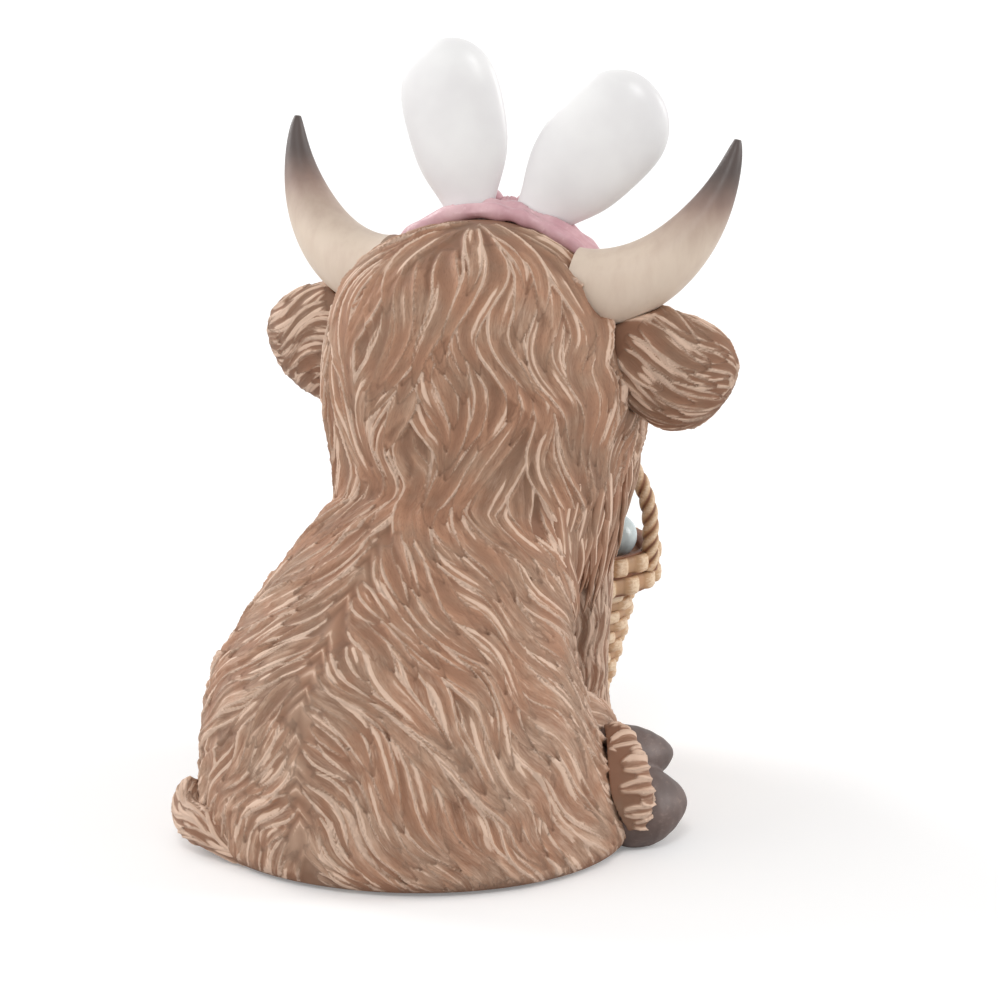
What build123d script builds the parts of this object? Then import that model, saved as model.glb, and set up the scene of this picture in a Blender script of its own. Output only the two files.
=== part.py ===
from build123d import *
from math import cos, pi, radians, sin
import os

# A cast and hand-painted figurine of a seated highland cow in a bunny-ear headband.
# A basket of eggs hangs from its mouth. Lengths are in millimetres and +Z is up.
# The cow faces -Y, its left side is +X, and the origin is on the ground under the body.

# Fits shared by several pieces
ground_gap = 0.3
glue_gap = 0.15
socket_depth = 5.0
overrun = 30.0
ovoid_steps = 8
ovoid_cap_angle = 7.0

# Felt under the body
felt_thickness = 1.6
felt_half_width = 31.0
felt_half_depth = 29.0

# Torso: a stack of ovals that leans forward from the rump to the neck
torso_height = 73.7
torso_half_width = 43.0
torso_half_depth = 41.0
# Each row: height, centre towards the back, half width, half depth
torso_shares = [
    (0.00, 0.29, 0.985, 0.985),
    (0.07, 0.31, 1.000, 1.000),
    (0.17, 0.36, 0.965, 0.960),
    (0.33, 0.48, 0.910, 0.835),
    (0.485, 0.48, 0.825, 0.765),
    (0.607, 0.35, 0.745, 0.710),
    (0.715, 0.18, 0.655, 0.690),
    (0.82, 0.00, 0.560, 0.650),
    (0.92, -0.16, 0.400, 0.490),
    (1.00, -0.24, 0.330, 0.390),
]

# Haunches
haunch_length = 21.0
haunch_radius = 15.0
haunch_side = 20.5
haunch_front = 3.5
haunch_lift = 14.5

# Head with its mane: a stack of ovals over the neck
head_height = 58.0
head_half_width = 31.5
head_half_depth = 32.0
head_overhang = 7.16
neck_overlap = 14.0
hem_tilt = 8.0
# Each row: height, centre towards the back, half width, half depth, part of the hem's tilt
head_shares = [
    (0.00, 0.20, 0.800, 1.030, 1.0),
    (0.09, -0.06, 0.890, 1.080, 0.6),
    (0.22, -0.13, 0.960, 1.110, 0.2),
    (0.43, -0.06, 1.000, 1.040, 0.0),
    (0.64, 0.01, 0.935, 0.950, 0.0),
    (0.81, 0.05, 0.780, 0.800, 0.0),
    (0.915, 0.04, 0.560, 0.600, 0.0),
    (0.975, 0.00, 0.320, 0.360, 0.0),
    (1.00, -0.02, 0.130, 0.140, 0.0),
]

# Muzzle and chin
muzzle_half_width = 15.5
muzzle_half_height = 11.0
muzzle_lip = 8.7
muzzle_height_share = 0.36
muzzle_sink = 7.0
chin_half_width = 11.0
chin_half_height = 6.5
chin_setback = 3.0
chin_gap_share = 0.72
# Each row: place from inside the head to the front, half width
snout_shares = [
    (0.00, 0.90),
    (0.35, 1.00),
    (0.62, 0.97),
    (0.82, 0.83),
    (0.94, 0.58),
    (1.00, 0.28),
]
nostril_radius = 2.2
nostril_side = 6.5
nostril_rise = 3.5
nostril_stretch_share = 1.4

# Eyes
eye_radius = 4.4
eye_angle = 25.0
eye_height_share = 0.61
eye_sink_share = 0.4

# Fringe over the forehead
fringe_thickness = 3.2
fringe_half_width = 19.5
fringe_eye_gap = 2.2
lock_length = 6.5
lock_count = 7

# Furry ears
ear_length = 24.5
ear_half_height = 12.0
ear_half_thickness = 5.8
ear_droop = 11.0
ear_sweep = 6.0
ear_height_share = 0.595
ear_angle = 82.0
# Each row: place along the ear, half height
ear_shares = [
    (0.00, 0.60),
    (0.18, 0.78),
    (0.40, 0.94),
    (0.62, 1.00),
    (0.80, 0.92),
    (0.92, 0.68),
    (0.98, 0.38),
    (1.00, 0.14),
]

# Horns
horn_reach = 24.0
horn_rise = 29.0
horn_sweep = 13.0
horn_radius = 7.8
horn_height_share = 0.79
horn_angle = 78.0
# Each row: outward, forward and upward place of the horn's middle line
horn_route_shares = [
    (0.00, 0.00, 0.00),
    (0.44, 0.22, 0.08),
    (0.80, 0.55, 0.42),
    (1.00, 1.00, 1.00),
]
# Each row: place along the horn, radius
horn_shares = [
    (0.00, 1.00),
    (0.15, 0.97),
    (0.32, 0.88),
    (0.50, 0.73),
    (0.68, 0.54),
    (0.84, 0.34),
    (0.95, 0.19),
    (1.00, 0.09),
]

# Headband and its bow
band_half_width = 4.2
band_half_thickness = 1.9
band_forward = 9.0
band_arc_half_angle = 50.0
band_radius = 29.5
bow_loop_length = 13.0
bow_loop_half_height = 5.6
bow_loop_half_thickness = 3.0
bow_knot_half_height = 4.2
bow_knot_radius = 3.1
# Each row: place along the loop, half height
bow_loop_shares = [
    (0.00, 0.40),
    (0.30, 0.74),
    (0.62, 1.00),
    (0.86, 0.88),
    (0.96, 0.55),
    (1.00, 0.24),
]

# Bunny ears of the headband: the left one stands, the right one flops outwards
bunny_ear_length = 34.2
bunny_ear_half_width = 11.2
bunny_ear_half_thickness = 4.6
bunny_ear_side = 5.4
bunny_ear_forward_lean = 7.0
bunny_ear_lean_left = 17.0
bunny_ear_lean_right = 40.0
bunny_root_length = 6.0
bunny_bend_share = 0.45
bunny_panel_half_thickness = 1.6
bunny_panel_margin = 3.6
bunny_panel_rise = 3.6
# Each row: place along the ear, half width of its inner panel
bunny_panel_shares = [
    (0.27, 0.12),
    (0.34, 0.50),
    (0.48, 0.86),
    (0.64, 1.00),
    (0.78, 0.90),
    (0.88, 0.60),
    (0.93, 0.16),
]
# Each row: place along the ear, half width
bunny_ear_shares = [
    (0.00, 0.36),
    (0.14, 0.48),
    (0.30, 0.74),
    (0.48, 0.95),
    (0.66, 1.00),
    (0.82, 0.93),
    (0.92, 0.72),
    (0.98, 0.42),
    (1.00, 0.15),
]

# Tail curled round the rump to the left
tail_radius = 5.4
tail_rise = 6.5
tail_start_angle = 8.0
tail_sweep_angle = 51.0
# Each row: part of the sweep round the base from the back, distance from its middle, rise
tail_route_shares = [
    (0.00, 0.80, 0.00),
    (0.30, 0.97, 0.00),
    (0.65, 1.03, 0.00),
    (0.95, 1.06, 0.35),
    (1.00, 1.03, 1.00),
]
# Each row: place along the tail, radius
tail_shares = [
    (0.00, 0.92),
    (0.25, 1.00),
    (0.50, 0.92),
    (0.72, 0.74),
    (0.90, 0.55),
    (0.98, 0.34),
    (1.00, 0.14),
]

# Forelegs and front hooves
foreleg_side = 16.0
foreleg_chest_gap = 3.0
foreleg_radius = 10.5
shoulder_drop = 8.0
shoulder_setback = 8.5
# Each row: place down the leg, radius
foreleg_shares = [
    (0.00, 1.00),
    (0.22, 0.98),
    (0.42, 0.84),
    (0.62, 0.72),
    (0.84, 0.71),
    (1.00, 0.80),
]
front_toe_length = 9.5
front_toe_radius = 5.6
front_toe_spread = 4.7
front_toe_advance = 5.0
front_hoof_height = 4.0
front_toe_lift_share = 0.75
front_toe_splay_share = 0.12

# Hind legs and hind hooves
hind_foot_side = 38.5
hind_foot_forward = 0.5
hind_foot_lift = 11.0
hind_leg_length = 16.0
hind_cuff_radius = 11.2
# Each row: place along the leg, radius
hind_leg_shares = [
    (0.00, 0.78),
    (0.50, 0.88),
    (0.80, 1.00),
    (0.94, 0.97),
    (1.00, 0.84),
]
hind_foot_turn = 40.0
hind_foot_roll = 45.0
hind_toe_length = 9.0
hind_toe_radius = 7.2
hind_toe_spread = 5.4
hind_toe_advance = 3.4

# Basket, handle and eggs
basket_lift = 8.0
basket_hang = 30.3
basket_base_radius = 9.5
basket_waist_radius = 14.4
basket_top_radius = 17.6
rim_wall = 4.65
rim_leg_gap = 2.1
rim_height = 8.4
rim_fillet = 2.0
egg_bed_drop = 2.2
handle_radius = 1.8
handle_bite_share = 0.5
egg_gap = 0.44
egg_wall_gap = 0.3
egg_ring_count = 7
egg_shape_share = 0.85
egg_ring_turn = 190.0
egg_lift_share = 0.85
egg_tilt_share = 0.25


def oval(plane, half_width, half_depth):
    """One closed oval profile on a plane."""
    with BuildSketch(plane) as profile:
        Ellipse(half_width, half_depth)
    return profile.sketch


def torso_profiles():
    """The torso's ovals from the ground to the top of the neck."""
    profiles = []
    for height_share, back_share, width_share, depth_share in torso_shares:
        centre = (0, torso_half_depth * back_share, ground_gap + torso_height * height_share)
        profiles.append(oval(Plane(centre), torso_half_width * width_share, torso_half_depth * depth_share))
    return profiles


head_bottom = ground_gap + torso_height - neck_overlap
head_centre = torso_half_depth * torso_shares[-1][1] - head_overhang


def head_profiles(growth=0):
    """The head's ovals from the hem of the mane to the crown, each larger by the growth."""
    profiles = []
    for height_share, back_share, width_share, depth_share, tilt_share in head_shares:
        centre = (0, head_centre + head_half_depth * back_share, head_bottom + head_height * height_share)
        plane = Plane(centre).rotated((-hem_tilt * tilt_share, 0, 0))
        half_width = head_half_width * width_share + growth
        profiles.append(oval(plane, half_width, head_half_depth * depth_share + growth))
    return profiles


def head_point(height_share, angle, sink=0):
    """A point on the head, the angle counted from its front, sunk below the surface."""
    for lower, upper in zip(head_shares, head_shares[1:]):
        if lower[0] <= height_share <= upper[0]:
            mix = (height_share - lower[0]) / (upper[0] - lower[0])
            row_shares = [a + (b - a) * mix for a, b in zip(lower, upper)]
    half_width = head_half_width * row_shares[2] - sink
    half_depth = head_half_depth * row_shares[3] - sink
    return (
        half_width * sin(radians(angle)),
        head_centre + head_half_depth * row_shares[1] - half_depth * cos(radians(angle)),
        head_bottom + head_height * height_share,
    )


def limb_profiles(points, width_shares, half_width, half_depth, side, growth=0):
    """Ovals set square to a smooth route, their width along side x route."""
    with BuildLine(mode=Mode.PRIVATE) as route:
        Spline(points)
    profiles = []
    for place_share, width_share in width_shares:
        ahead = route.line % place_share
        across = Vector(side).cross(ahead).normalized()
        plane = Plane(route.line @ place_share, x_dir=across, z_dir=ahead)
        profiles.append(oval(plane, half_width * width_share + growth, half_depth * width_share + growth))
    return profiles


def add_ovoid(centre, along, half_length, radius, mode=Mode.ADD):
    """An egg-like solid along a direction, lofted through circles."""
    ahead = Vector(along).normalized()
    profiles = []
    for step in range(ovoid_steps + 1):
        angle = radians(ovoid_cap_angle + (180 - 2 * ovoid_cap_angle) * step / ovoid_steps)
        plane = Plane(Vector(centre) - ahead * (half_length * cos(angle)), z_dir=ahead)
        profiles.append(oval(plane, radius * sin(angle), radius * sin(angle)))
    loft(profiles, mode=mode)


def cut_with(*pieces):
    """Take the space of finished pieces out of the current one."""
    for piece in pieces:
        add(piece.part, mode=Mode.SUBTRACT)


def cut_at_ground():
    """Keep what stands above the bottom of the casting."""
    split(bisect_by=Plane.XY.offset(ground_gap), keep=Keep.TOP)


def horn_profiles(side, growth=0):
    """The horn's round sections, from inside the head to the tip."""
    root = Vector(head_point(horn_height_share, side * horn_angle, socket_depth))
    points = []
    for out_share, forward_share, up_share in horn_route_shares:
        step = (side * horn_reach * out_share, -horn_sweep * forward_share, horn_rise * up_share)
        points.append(root + Vector(step) + Vector(side * socket_depth * out_share, 0, 0))
    return limb_profiles(points, horn_shares, horn_radius, horn_radius, (0, 1, 0), growth)


def ear_profiles(side, growth=0):
    """The furry ear's flat sections, drooping from inside the head."""
    root = Vector(head_point(ear_height_share, side * ear_angle, socket_depth))
    middle = root + Vector(side * ear_length / 2, -ear_sweep / 2, -ear_droop / 3)
    tip = root + Vector(side * ear_length, -ear_sweep, -ear_droop)
    return limb_profiles([root, middle, tip], ear_shares, ear_half_height, ear_half_thickness,
                         (0, 1, 0), growth)


crown = head_bottom + head_height
band_y = head_centre - band_forward
band_top = crown + band_half_thickness / 2


def bunny_route(side, lean, forward=0):
    """The middle line of a bunny ear, from its root in the head to its tip."""
    root = Vector(side * bunny_ear_side, band_y - forward, band_top - bunny_root_length)
    length = bunny_ear_length + bunny_root_length
    tip_out = side * length * sin(radians(lean))
    tip = root + Vector(tip_out, -bunny_ear_forward_lean, length * cos(radians(lean)))
    bend = root + (tip - root) * bunny_bend_share + Vector(-tip_out / 12, -bunny_ear_forward_lean / 8, 0)
    return [root, bend, tip]


def bunny_profiles(side, lean, growth=0):
    """The bunny ear's plump flat sections."""
    return limb_profiles(bunny_route(side, lean), bunny_ear_shares, bunny_ear_half_width,
                         bunny_ear_half_thickness, (0, 1, 0), growth)


# The forelegs stand before the chest, the basket before them, and the muzzle reaches over the basket
foreleg_forward = torso_half_depth * (torso_shares[0][3] - torso_shares[0][1]) + foreleg_chest_gap
rim_outer_radius = basket_top_radius + glue_gap + rim_wall
basket_forward = foreleg_forward + rim_leg_gap + rim_outer_radius
muzzle_root = Vector(head_point(muzzle_height_share, 0, muzzle_sink))
muzzle_length = basket_forward + muzzle_lip + muzzle_root.Y
chin_length = muzzle_length - chin_setback
handle_top = muzzle_root.Z - muzzle_half_height + handle_radius * handle_bite_share
rim_middle = handle_top - basket_hang
handle_side = rim_outer_radius - handle_radius / 2
handle_y = -basket_forward
handle_spring = handle_top - handle_side


def add_handle(radius, mode=Mode.ADD):
    """The handle's arch over the basket, from rim to rim through the mouth."""
    with BuildLine(mode=Mode.PRIVATE) as route:
        Line((-handle_side, handle_y, rim_middle), (-handle_side, handle_y, handle_spring))
        ThreePointArc((-handle_side, handle_y, handle_spring), (0, handle_y, handle_top),
                      (handle_side, handle_y, handle_spring))
        Line((handle_side, handle_y, handle_spring), (handle_side, handle_y, rim_middle))
    with BuildSketch(Plane((-handle_side, handle_y, rim_middle)), mode=Mode.PRIVATE) as section:
        Circle(radius)
    sweep(section.sketch, path=route.line, mode=mode)


sides = [(-1, "right"), (1, "left")]
bunny_leans = [(-1, "right", bunny_ear_lean_right), (1, "left", bunny_ear_lean_left)]

# Body casting: the torso and both haunches, with a recess for the felt
with BuildPart() as body:
    loft(torso_profiles())
    for side, side_name in sides:
        add_ovoid((side * haunch_side, -haunch_front, haunch_lift), (side * haunch_front, -haunch_length, 0),
                  haunch_length, haunch_radius)
    cut_at_ground()
    with BuildSketch(Plane.XY.offset(ground_gap)):
        with Locations((0, torso_half_depth * torso_shares[0][1])):
            Ellipse(felt_half_width + glue_gap, felt_half_depth + glue_gap)
    extrude(amount=felt_thickness - ground_gap, mode=Mode.SUBTRACT)
body.part.label = "body_casting"

# Felt pad, which stands a little proud of the casting
with BuildPart() as felt:
    with BuildSketch():
        with Locations((0, torso_half_depth * torso_shares[0][1])):
            Ellipse(felt_half_width, felt_half_depth)
    extrude(amount=felt_thickness)
felt.part.label = "base_felt"

# Horns, furry ears and bunny ears are made first, because the head and band have sockets for them
horns = {}
ears = {}
for side, side_name in sides:
    with BuildPart() as horn:
        loft(horn_profiles(side))
    horn.part.label = "horn_" + side_name
    horns[side_name] = horn
    with BuildPart() as ear:
        loft(ear_profiles(side))
        cut_with(horn)
    ear.part.label = "ear_" + side_name
    ears[side_name] = ear

bunny_ears = {}
for side, side_name, lean in bunny_leans:
    with BuildPart() as bunny_ear:
        loft(bunny_profiles(side, lean))
    bunny_ear.part.label = "bunny_ear_" + side_name
    bunny_ears[side_name] = bunny_ear

# Head casting with its mane, seated over the neck
with BuildPart() as head:
    loft(head_profiles())
    cut_with(body)
    for side, side_name in sides:
        loft(horn_profiles(side, glue_gap), mode=Mode.SUBTRACT)
        loft(ear_profiles(side, glue_gap), mode=Mode.SUBTRACT)
    for side, side_name, lean in bunny_leans:
        loft(bunny_profiles(side, lean, glue_gap), mode=Mode.SUBTRACT)

# Headband: an arch over the crown from horn to horn
band_end = Vector(
    band_radius * sin(radians(band_arc_half_angle)),
    band_y,
    band_top - band_radius * (1 - cos(radians(band_arc_half_angle))),
)
with BuildPart() as band:
    with BuildLine() as band_route:
        ThreePointArc((-band_end.X, band_y, band_end.Z), (0, band_y, band_top), band_end)
    with BuildSketch(Plane(band_route.line @ 0, x_dir=(0, 1, 0), z_dir=band_route.line % 0)):
        Ellipse(band_half_width, band_half_thickness)
    sweep()
    cut_with(head, *horns.values())
    for side, side_name, lean in bunny_leans:
        loft(bunny_profiles(side, lean, glue_gap), mode=Mode.SUBTRACT)
band.part.label = "headband"

# Fringe: hair locks over the forehead, between the horns
with BuildPart() as fringe:
    loft(head_profiles(fringe_thickness))
    with BuildSketch(Plane.XZ.offset(-band_y + band_half_width)):
        with BuildLine():
            lock_width = 2 * fringe_half_width / lock_count
            hem = head_bottom + head_height * eye_height_share + eye_radius + fringe_eye_gap
            Polyline((fringe_half_width, hem), (fringe_half_width, crown + overrun),
                     (-fringe_half_width, crown + overrun), (-fringe_half_width, hem))
            for lock in range(lock_count):
                left = -fringe_half_width + lock * lock_width
                drop = lock_length * sin(radians(180 * (lock + 0.5) / lock_count))
                Polyline((left, hem), (left + lock_width / 2, hem - drop), (left + lock_width, hem))
        make_face()
    extrude(amount=overrun * 2, mode=Mode.INTERSECT)
    cut_with(head, band)
fringe.part.label = "forelock"

# Bow on the front of the headband: a knot with a loop on each side
knot_centre = Vector(0, band_y - band_half_width - bow_knot_radius / 2, band_top - bow_knot_half_height / 2)
with BuildPart() as bow_knot:
    add_ovoid(knot_centre, (0, 0, 1), bow_knot_half_height, bow_knot_radius)
    cut_with(head, band, fringe)
bow_knot.part.label = "bow_knot"

bow_loops = []
for side, side_name in sides:
    with BuildPart() as bow_loop:
        loop_tip = knot_centre + Vector(side * bow_loop_length, bow_knot_radius / 3, bow_knot_radius / 3)
        loop_middle = (knot_centre + loop_tip) / 2 + Vector(0, -bow_knot_radius / 3, bow_knot_radius / 3)
        loft(limb_profiles([knot_centre, loop_middle, loop_tip], bow_loop_shares,
                           bow_loop_half_height, bow_loop_half_thickness, (0, 1, 0)))
        cut_with(bow_knot, head, band, fringe, *bunny_ears.values())
    bow_loop.part.label = "bow_loop_" + side_name
    bow_loops.append(bow_loop)

# Pale inner panels let into the fronts of the bunny ears
panels = []
for side, side_name, lean in bunny_leans:
    with BuildPart() as panel:
        route = bunny_route(side, lean, bunny_panel_rise)
        half_width = bunny_ear_half_width - bunny_panel_margin
        loft(limb_profiles(route, bunny_panel_shares, half_width, bunny_panel_half_thickness, (0, 1, 0)))
        panel_blank = panel.part
        cut_with(band, bow_knot, *bow_loops)
    panel.part.label = "bunny_panel_" + side_name
    panels.append(panel)
    with BuildPart() as panelled_ear:
        add(bunny_ears[side_name].part)
        add(panel_blank, mode=Mode.SUBTRACT)
    panelled_ear.part.label = "bunny_ear_" + side_name
    bunny_ears[side_name] = panelled_ear

# Muzzle over the chin, with two nostrils
with BuildPart() as muzzle:
    muzzle_tip = muzzle_root - Vector(0, muzzle_length, 0)
    loft(limb_profiles([muzzle_root, (muzzle_root + muzzle_tip) / 2, muzzle_tip], snout_shares,
                       muzzle_half_width, muzzle_half_height, (0, 0, 1)))
    for side, side_name in sides:
        nostril = muzzle_tip + Vector(side * nostril_side, nostril_radius, nostril_rise)
        add_ovoid(nostril, (side, 0, 1), nostril_radius * nostril_stretch_share, nostril_radius,
                  mode=Mode.SUBTRACT)
    cut_with(head)

with BuildPart() as chin:
    chin_root = Vector(0, muzzle_root.Y, muzzle_root.Z - muzzle_half_height - chin_half_height * chin_gap_share)
    chin_tip = chin_root - Vector(0, chin_length, 0)
    loft(limb_profiles([chin_root, (chin_root + chin_tip) / 2, chin_tip], snout_shares,
                       chin_half_width, chin_half_height, (0, 0, 1)))
    cut_with(head, muzzle, body)

# Eyes on the front of the head
eyes = []
for side, side_name in sides:
    with BuildPart() as eye:
        with Locations(head_point(eye_height_share, side * eye_angle, eye_radius * eye_sink_share)):
            Sphere(eye_radius)
        cut_with(head, fringe)
    eye.part.label = "eye_" + side_name
    eyes.append(eye)

# Forelegs from the shoulders down over the front hooves, which have two toes each
foreleg_top = ground_gap + torso_height - shoulder_drop
forelegs = []
front_hooves = []
for side, side_name in sides:
    with BuildPart() as hoof:
        for toe_side in (-1, 1):
            toe = (side * foreleg_side + toe_side * front_toe_spread, -foreleg_forward - front_toe_advance,
                   ground_gap + front_toe_radius * front_toe_lift_share)
            add_ovoid(toe, (toe_side * front_toe_splay_share, -1, 0), front_toe_length, front_toe_radius)
        cut_at_ground()
    hoof.part.label = "front_hoof_" + side_name
    front_hooves.append(hoof)
    with BuildPart() as foreleg:
        shoulder = (side * foreleg_side, shoulder_setback - foreleg_forward, foreleg_top)
        elbow = (side * foreleg_side, -foreleg_forward, foreleg_top / 2)
        fetlock = (side * foreleg_side, -foreleg_forward, front_hoof_height)
        loft(limb_profiles([shoulder, elbow, fetlock], foreleg_shares, foreleg_radius, foreleg_radius,
                           (0, 1, 0)))
        cut_with(body, head, chin, muzzle, hoof)
    foreleg.part.label = "foreleg_" + side_name
    forelegs.append(foreleg)

# Hind legs from the haunches to the furry cuffs, with two toes on each hoof
hind_legs = []
hind_hooves = []
for side, side_name in sides:
    ahead = Vector(side * sin(radians(hind_foot_turn)), -cos(radians(hind_foot_turn)), 0)
    inward = Vector(-side * cos(radians(hind_foot_turn)), -sin(radians(hind_foot_turn)), 0)
    cuff = Vector(side * hind_foot_side, -hind_foot_forward, hind_foot_lift)
    with BuildPart() as hind_leg:
        route = [cuff - ahead * hind_leg_length, cuff - ahead * hind_leg_length / 2, cuff]
        loft(limb_profiles(route, hind_leg_shares, hind_cuff_radius, hind_cuff_radius, (0, 0, 1)))
        cut_at_ground()
        cut_with(body)
    hind_leg.part.label = "hind_leg_" + side_name
    hind_legs.append(hind_leg)
    with BuildPart() as hoof:
        spread = inward * sin(radians(hind_foot_roll)) + Vector(0, 0, cos(radians(hind_foot_roll)))
        for toe_side in (-1, 1):
            toe = cuff + ahead * hind_toe_advance + spread * (toe_side * hind_toe_spread)
            add_ovoid(toe, ahead, hind_toe_length, hind_toe_radius)
        cut_at_ground()
        cut_with(body, hind_leg)
    hoof.part.label = "hind_hoof_" + side_name
    hind_hooves.append(hoof)

# Tail, from the rump round to the left
with BuildPart() as tail:
    tail_route = []
    for sweep_share, distance_share, rise_share in tail_route_shares:
        turn = radians(tail_start_angle + tail_sweep_angle * sweep_share)
        tail_route.append((
            torso_half_width * distance_share * sin(turn),
            torso_half_depth * (torso_shares[0][1] + distance_share * cos(turn)),
            ground_gap + tail_radius + tail_rise * rise_share,
        ))
    loft(limb_profiles(tail_route, tail_shares, tail_radius, tail_radius, (0, 0, 1)))
    cut_at_ground()
    cut_with(body)
tail.part.label = "tail"

# Eggs bedded in the basket: one in the middle and a ring that fills the basket's mouth
egg_room = basket_top_radius - egg_wall_gap + egg_shape_share * egg_gap
egg_ring_radius = egg_room / (1 + egg_shape_share * pi / egg_ring_count)
egg_half_length = pi * egg_ring_radius / egg_ring_count - egg_gap
egg_radius = egg_shape_share * egg_half_length
egg_z = rim_middle + rim_height / 2 - egg_bed_drop + egg_radius * egg_lift_share
eggs = []
with BuildPart() as egg:
    add_ovoid((0, -basket_forward, egg_z), (1, 0, 0), egg_half_length, egg_radius)
egg.part.label = "egg_1"
eggs.append(egg)
for number in range(egg_ring_count):
    angle = radians(egg_ring_turn + 360 * number / egg_ring_count)
    with BuildPart() as egg:
        centre = (egg_ring_radius * cos(angle), -basket_forward + egg_ring_radius * sin(angle), egg_z)
        tilt = egg_tilt_share * (-1) ** number
        add_ovoid(centre, (-sin(angle), cos(angle), tilt), egg_half_length, egg_radius)
    egg.part.label = "egg_" + str(number + 2)
    eggs.append(egg)

# Handle of the basket
with BuildPart() as handle:
    add_handle(handle_radius)
handle.part.label = "basket_handle"

# The mouth holds the handle: the head, the muzzle and the chin leave room for it
mouth_pieces = []
for piece, piece_name in ((head, "head_casting"), (muzzle, "muzzle"), (chin, "chin")):
    with BuildPart() as mouth_piece:
        add(piece.part)
        add_handle(handle_radius + glue_gap, mode=Mode.SUBTRACT)
    mouth_piece.part.label = piece_name
    mouth_pieces.append(mouth_piece)

# Basket bowl with a bed for the eggs
basket_axis = Axis((0, -basket_forward, 0), (0, 0, 1))
with BuildPart() as basket:
    with BuildSketch(Plane.XZ.offset(basket_forward)):
        with BuildLine():
            bed = rim_middle + rim_height / 2 - egg_bed_drop
            Polyline((0, bed), (0, basket_lift), (basket_base_radius, basket_lift))
            Spline((basket_base_radius, basket_lift), (basket_waist_radius, (basket_lift + rim_middle) / 2),
                   (basket_top_radius, rim_middle))
            Polyline((basket_top_radius, rim_middle), (basket_top_radius, bed), (0, bed))
        make_face()
    revolve(axis=basket_axis)
    cut_with(*eggs)
basket.part.label = "basket_bowl"

# Rim band round the top of the bowl, seated against the forelegs
with BuildPart() as rim:
    inner_radius = basket_top_radius + glue_gap
    with BuildSketch(Plane.XZ.offset(basket_forward)):
        with Locations(((inner_radius + rim_outer_radius) / 2, rim_middle)):
            RectangleRounded(rim_outer_radius - inner_radius, rim_height, rim_fillet)
    revolve(axis=basket_axis)
    add_handle(handle_radius + glue_gap, mode=Mode.SUBTRACT)
    cut_with(*forelegs)
rim.part.label = "basket_rim"

pieces = [body, felt, fringe, tail, band, bow_knot, basket, rim, handle] + mouth_pieces
pieces += list(horns.values()) + list(ears.values()) + list(bunny_ears.values())
pieces += panels + bow_loops + eyes + forelegs + front_hooves + hind_legs + hind_hooves + eggs

os.makedirs("parts", exist_ok=True)
for piece in pieces:
    export_step(piece.part, "parts/" + piece.part.label + ".step")
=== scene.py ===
"""Seated highland cow figurine with a rabbit-ear headband and a basket of eggs: the finished look."""

import math
import random

import bmesh
import bpy
import numpy as np
from bpy.props import FloatProperty, FloatVectorProperty, IntProperty, PointerProperty
from mathutils import Matrix, Vector, noise
from mathutils.bvhtree import BVHTree


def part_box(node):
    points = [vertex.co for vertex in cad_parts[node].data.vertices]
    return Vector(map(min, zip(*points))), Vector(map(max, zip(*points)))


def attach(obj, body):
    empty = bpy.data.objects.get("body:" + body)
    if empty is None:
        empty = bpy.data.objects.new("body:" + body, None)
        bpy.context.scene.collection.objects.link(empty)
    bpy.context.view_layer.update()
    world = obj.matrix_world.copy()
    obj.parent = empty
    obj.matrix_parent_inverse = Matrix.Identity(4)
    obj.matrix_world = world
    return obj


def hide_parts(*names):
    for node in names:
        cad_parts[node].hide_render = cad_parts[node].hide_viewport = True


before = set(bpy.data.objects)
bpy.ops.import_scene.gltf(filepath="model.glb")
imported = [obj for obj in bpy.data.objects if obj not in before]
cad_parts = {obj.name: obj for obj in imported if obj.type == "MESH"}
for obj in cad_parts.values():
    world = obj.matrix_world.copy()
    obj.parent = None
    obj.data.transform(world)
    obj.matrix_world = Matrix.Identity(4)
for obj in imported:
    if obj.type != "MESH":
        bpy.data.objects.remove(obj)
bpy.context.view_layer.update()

bl_info = {
    "name": "Highland cow figurine",
    "version": (1, 0, 0),
    "blender": (4, 5, 0),
    "location": "View3D > Sidebar > Figurine",
    "description": "Builds the coat, horns, headband, basket and stage of a cast cow figurine",
    "category": "Object",
}

MM = 0.001
UP = Vector((0, 0, 1))
CELL = 5.0  # size of the cells that the coat's vertices are sorted into
NEIGHBOURS = [(dx, dy, dz) for dx in (-1, 0, 1) for dy in (-1, 0, 1) for dz in (-1, 0, 1)]

# Places on the figurine, in millimetres
LOWEST = 0.3  # underside of hair and hooves
SEAM_HEIGHT = 64.5  # where head and body meet
SPINE_MIDDLE, SPINE_SWING, SPINE_BEND = 1.5, 3.0, 19.0
NECK_Y = -17.0
RUMP_Y = 12.0
CUFF = Vector((38.5, -0.5, 11.0))  # middle of the left hind cuff
TOES_OUT = math.radians(40)
HIND_TOES = ((1, 10.4, 6.6, 6.3, 0.8), (-1, 9.8, 8.4, 6.6, 0.2))  # side, half length, height and width, rise
WAVE_PATCH, SWING_PATCH = 27.0, 19.0  # how far apart the hair waves differently
TIP_ROWS = ((82, 5.0, -0.3), (88, 6.0, 0.1), (78, 6.5, 0.4))  # height of the roots, degrees apart, lift
TIP_START, TIP_STOP = (38, 41), 124  # degrees from the face
TIP_ENDS, TIP_ROOT = 59.5, 3.2  # height that the tips reach, depth of their roots
MOST_TRIANGLES = 192000


def paint(red, green, blue):
    """A linear colour from the everyday 0 to 255 scale."""
    channels = []
    for level in (red, green, blue):
        share = level / 255
        channels.append(share / 12.92 if share <= 0.04045 else ((share + 0.055) / 1.055) ** 2.4)
    return (*channels, 1.0)


def colour_property(name, red, green, blue):
    return FloatVectorProperty(name=name, description=name + " of the painted figurine", subtype="COLOR",
                               size=4, min=0, max=1, default=paint(red, green, blue))


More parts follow.
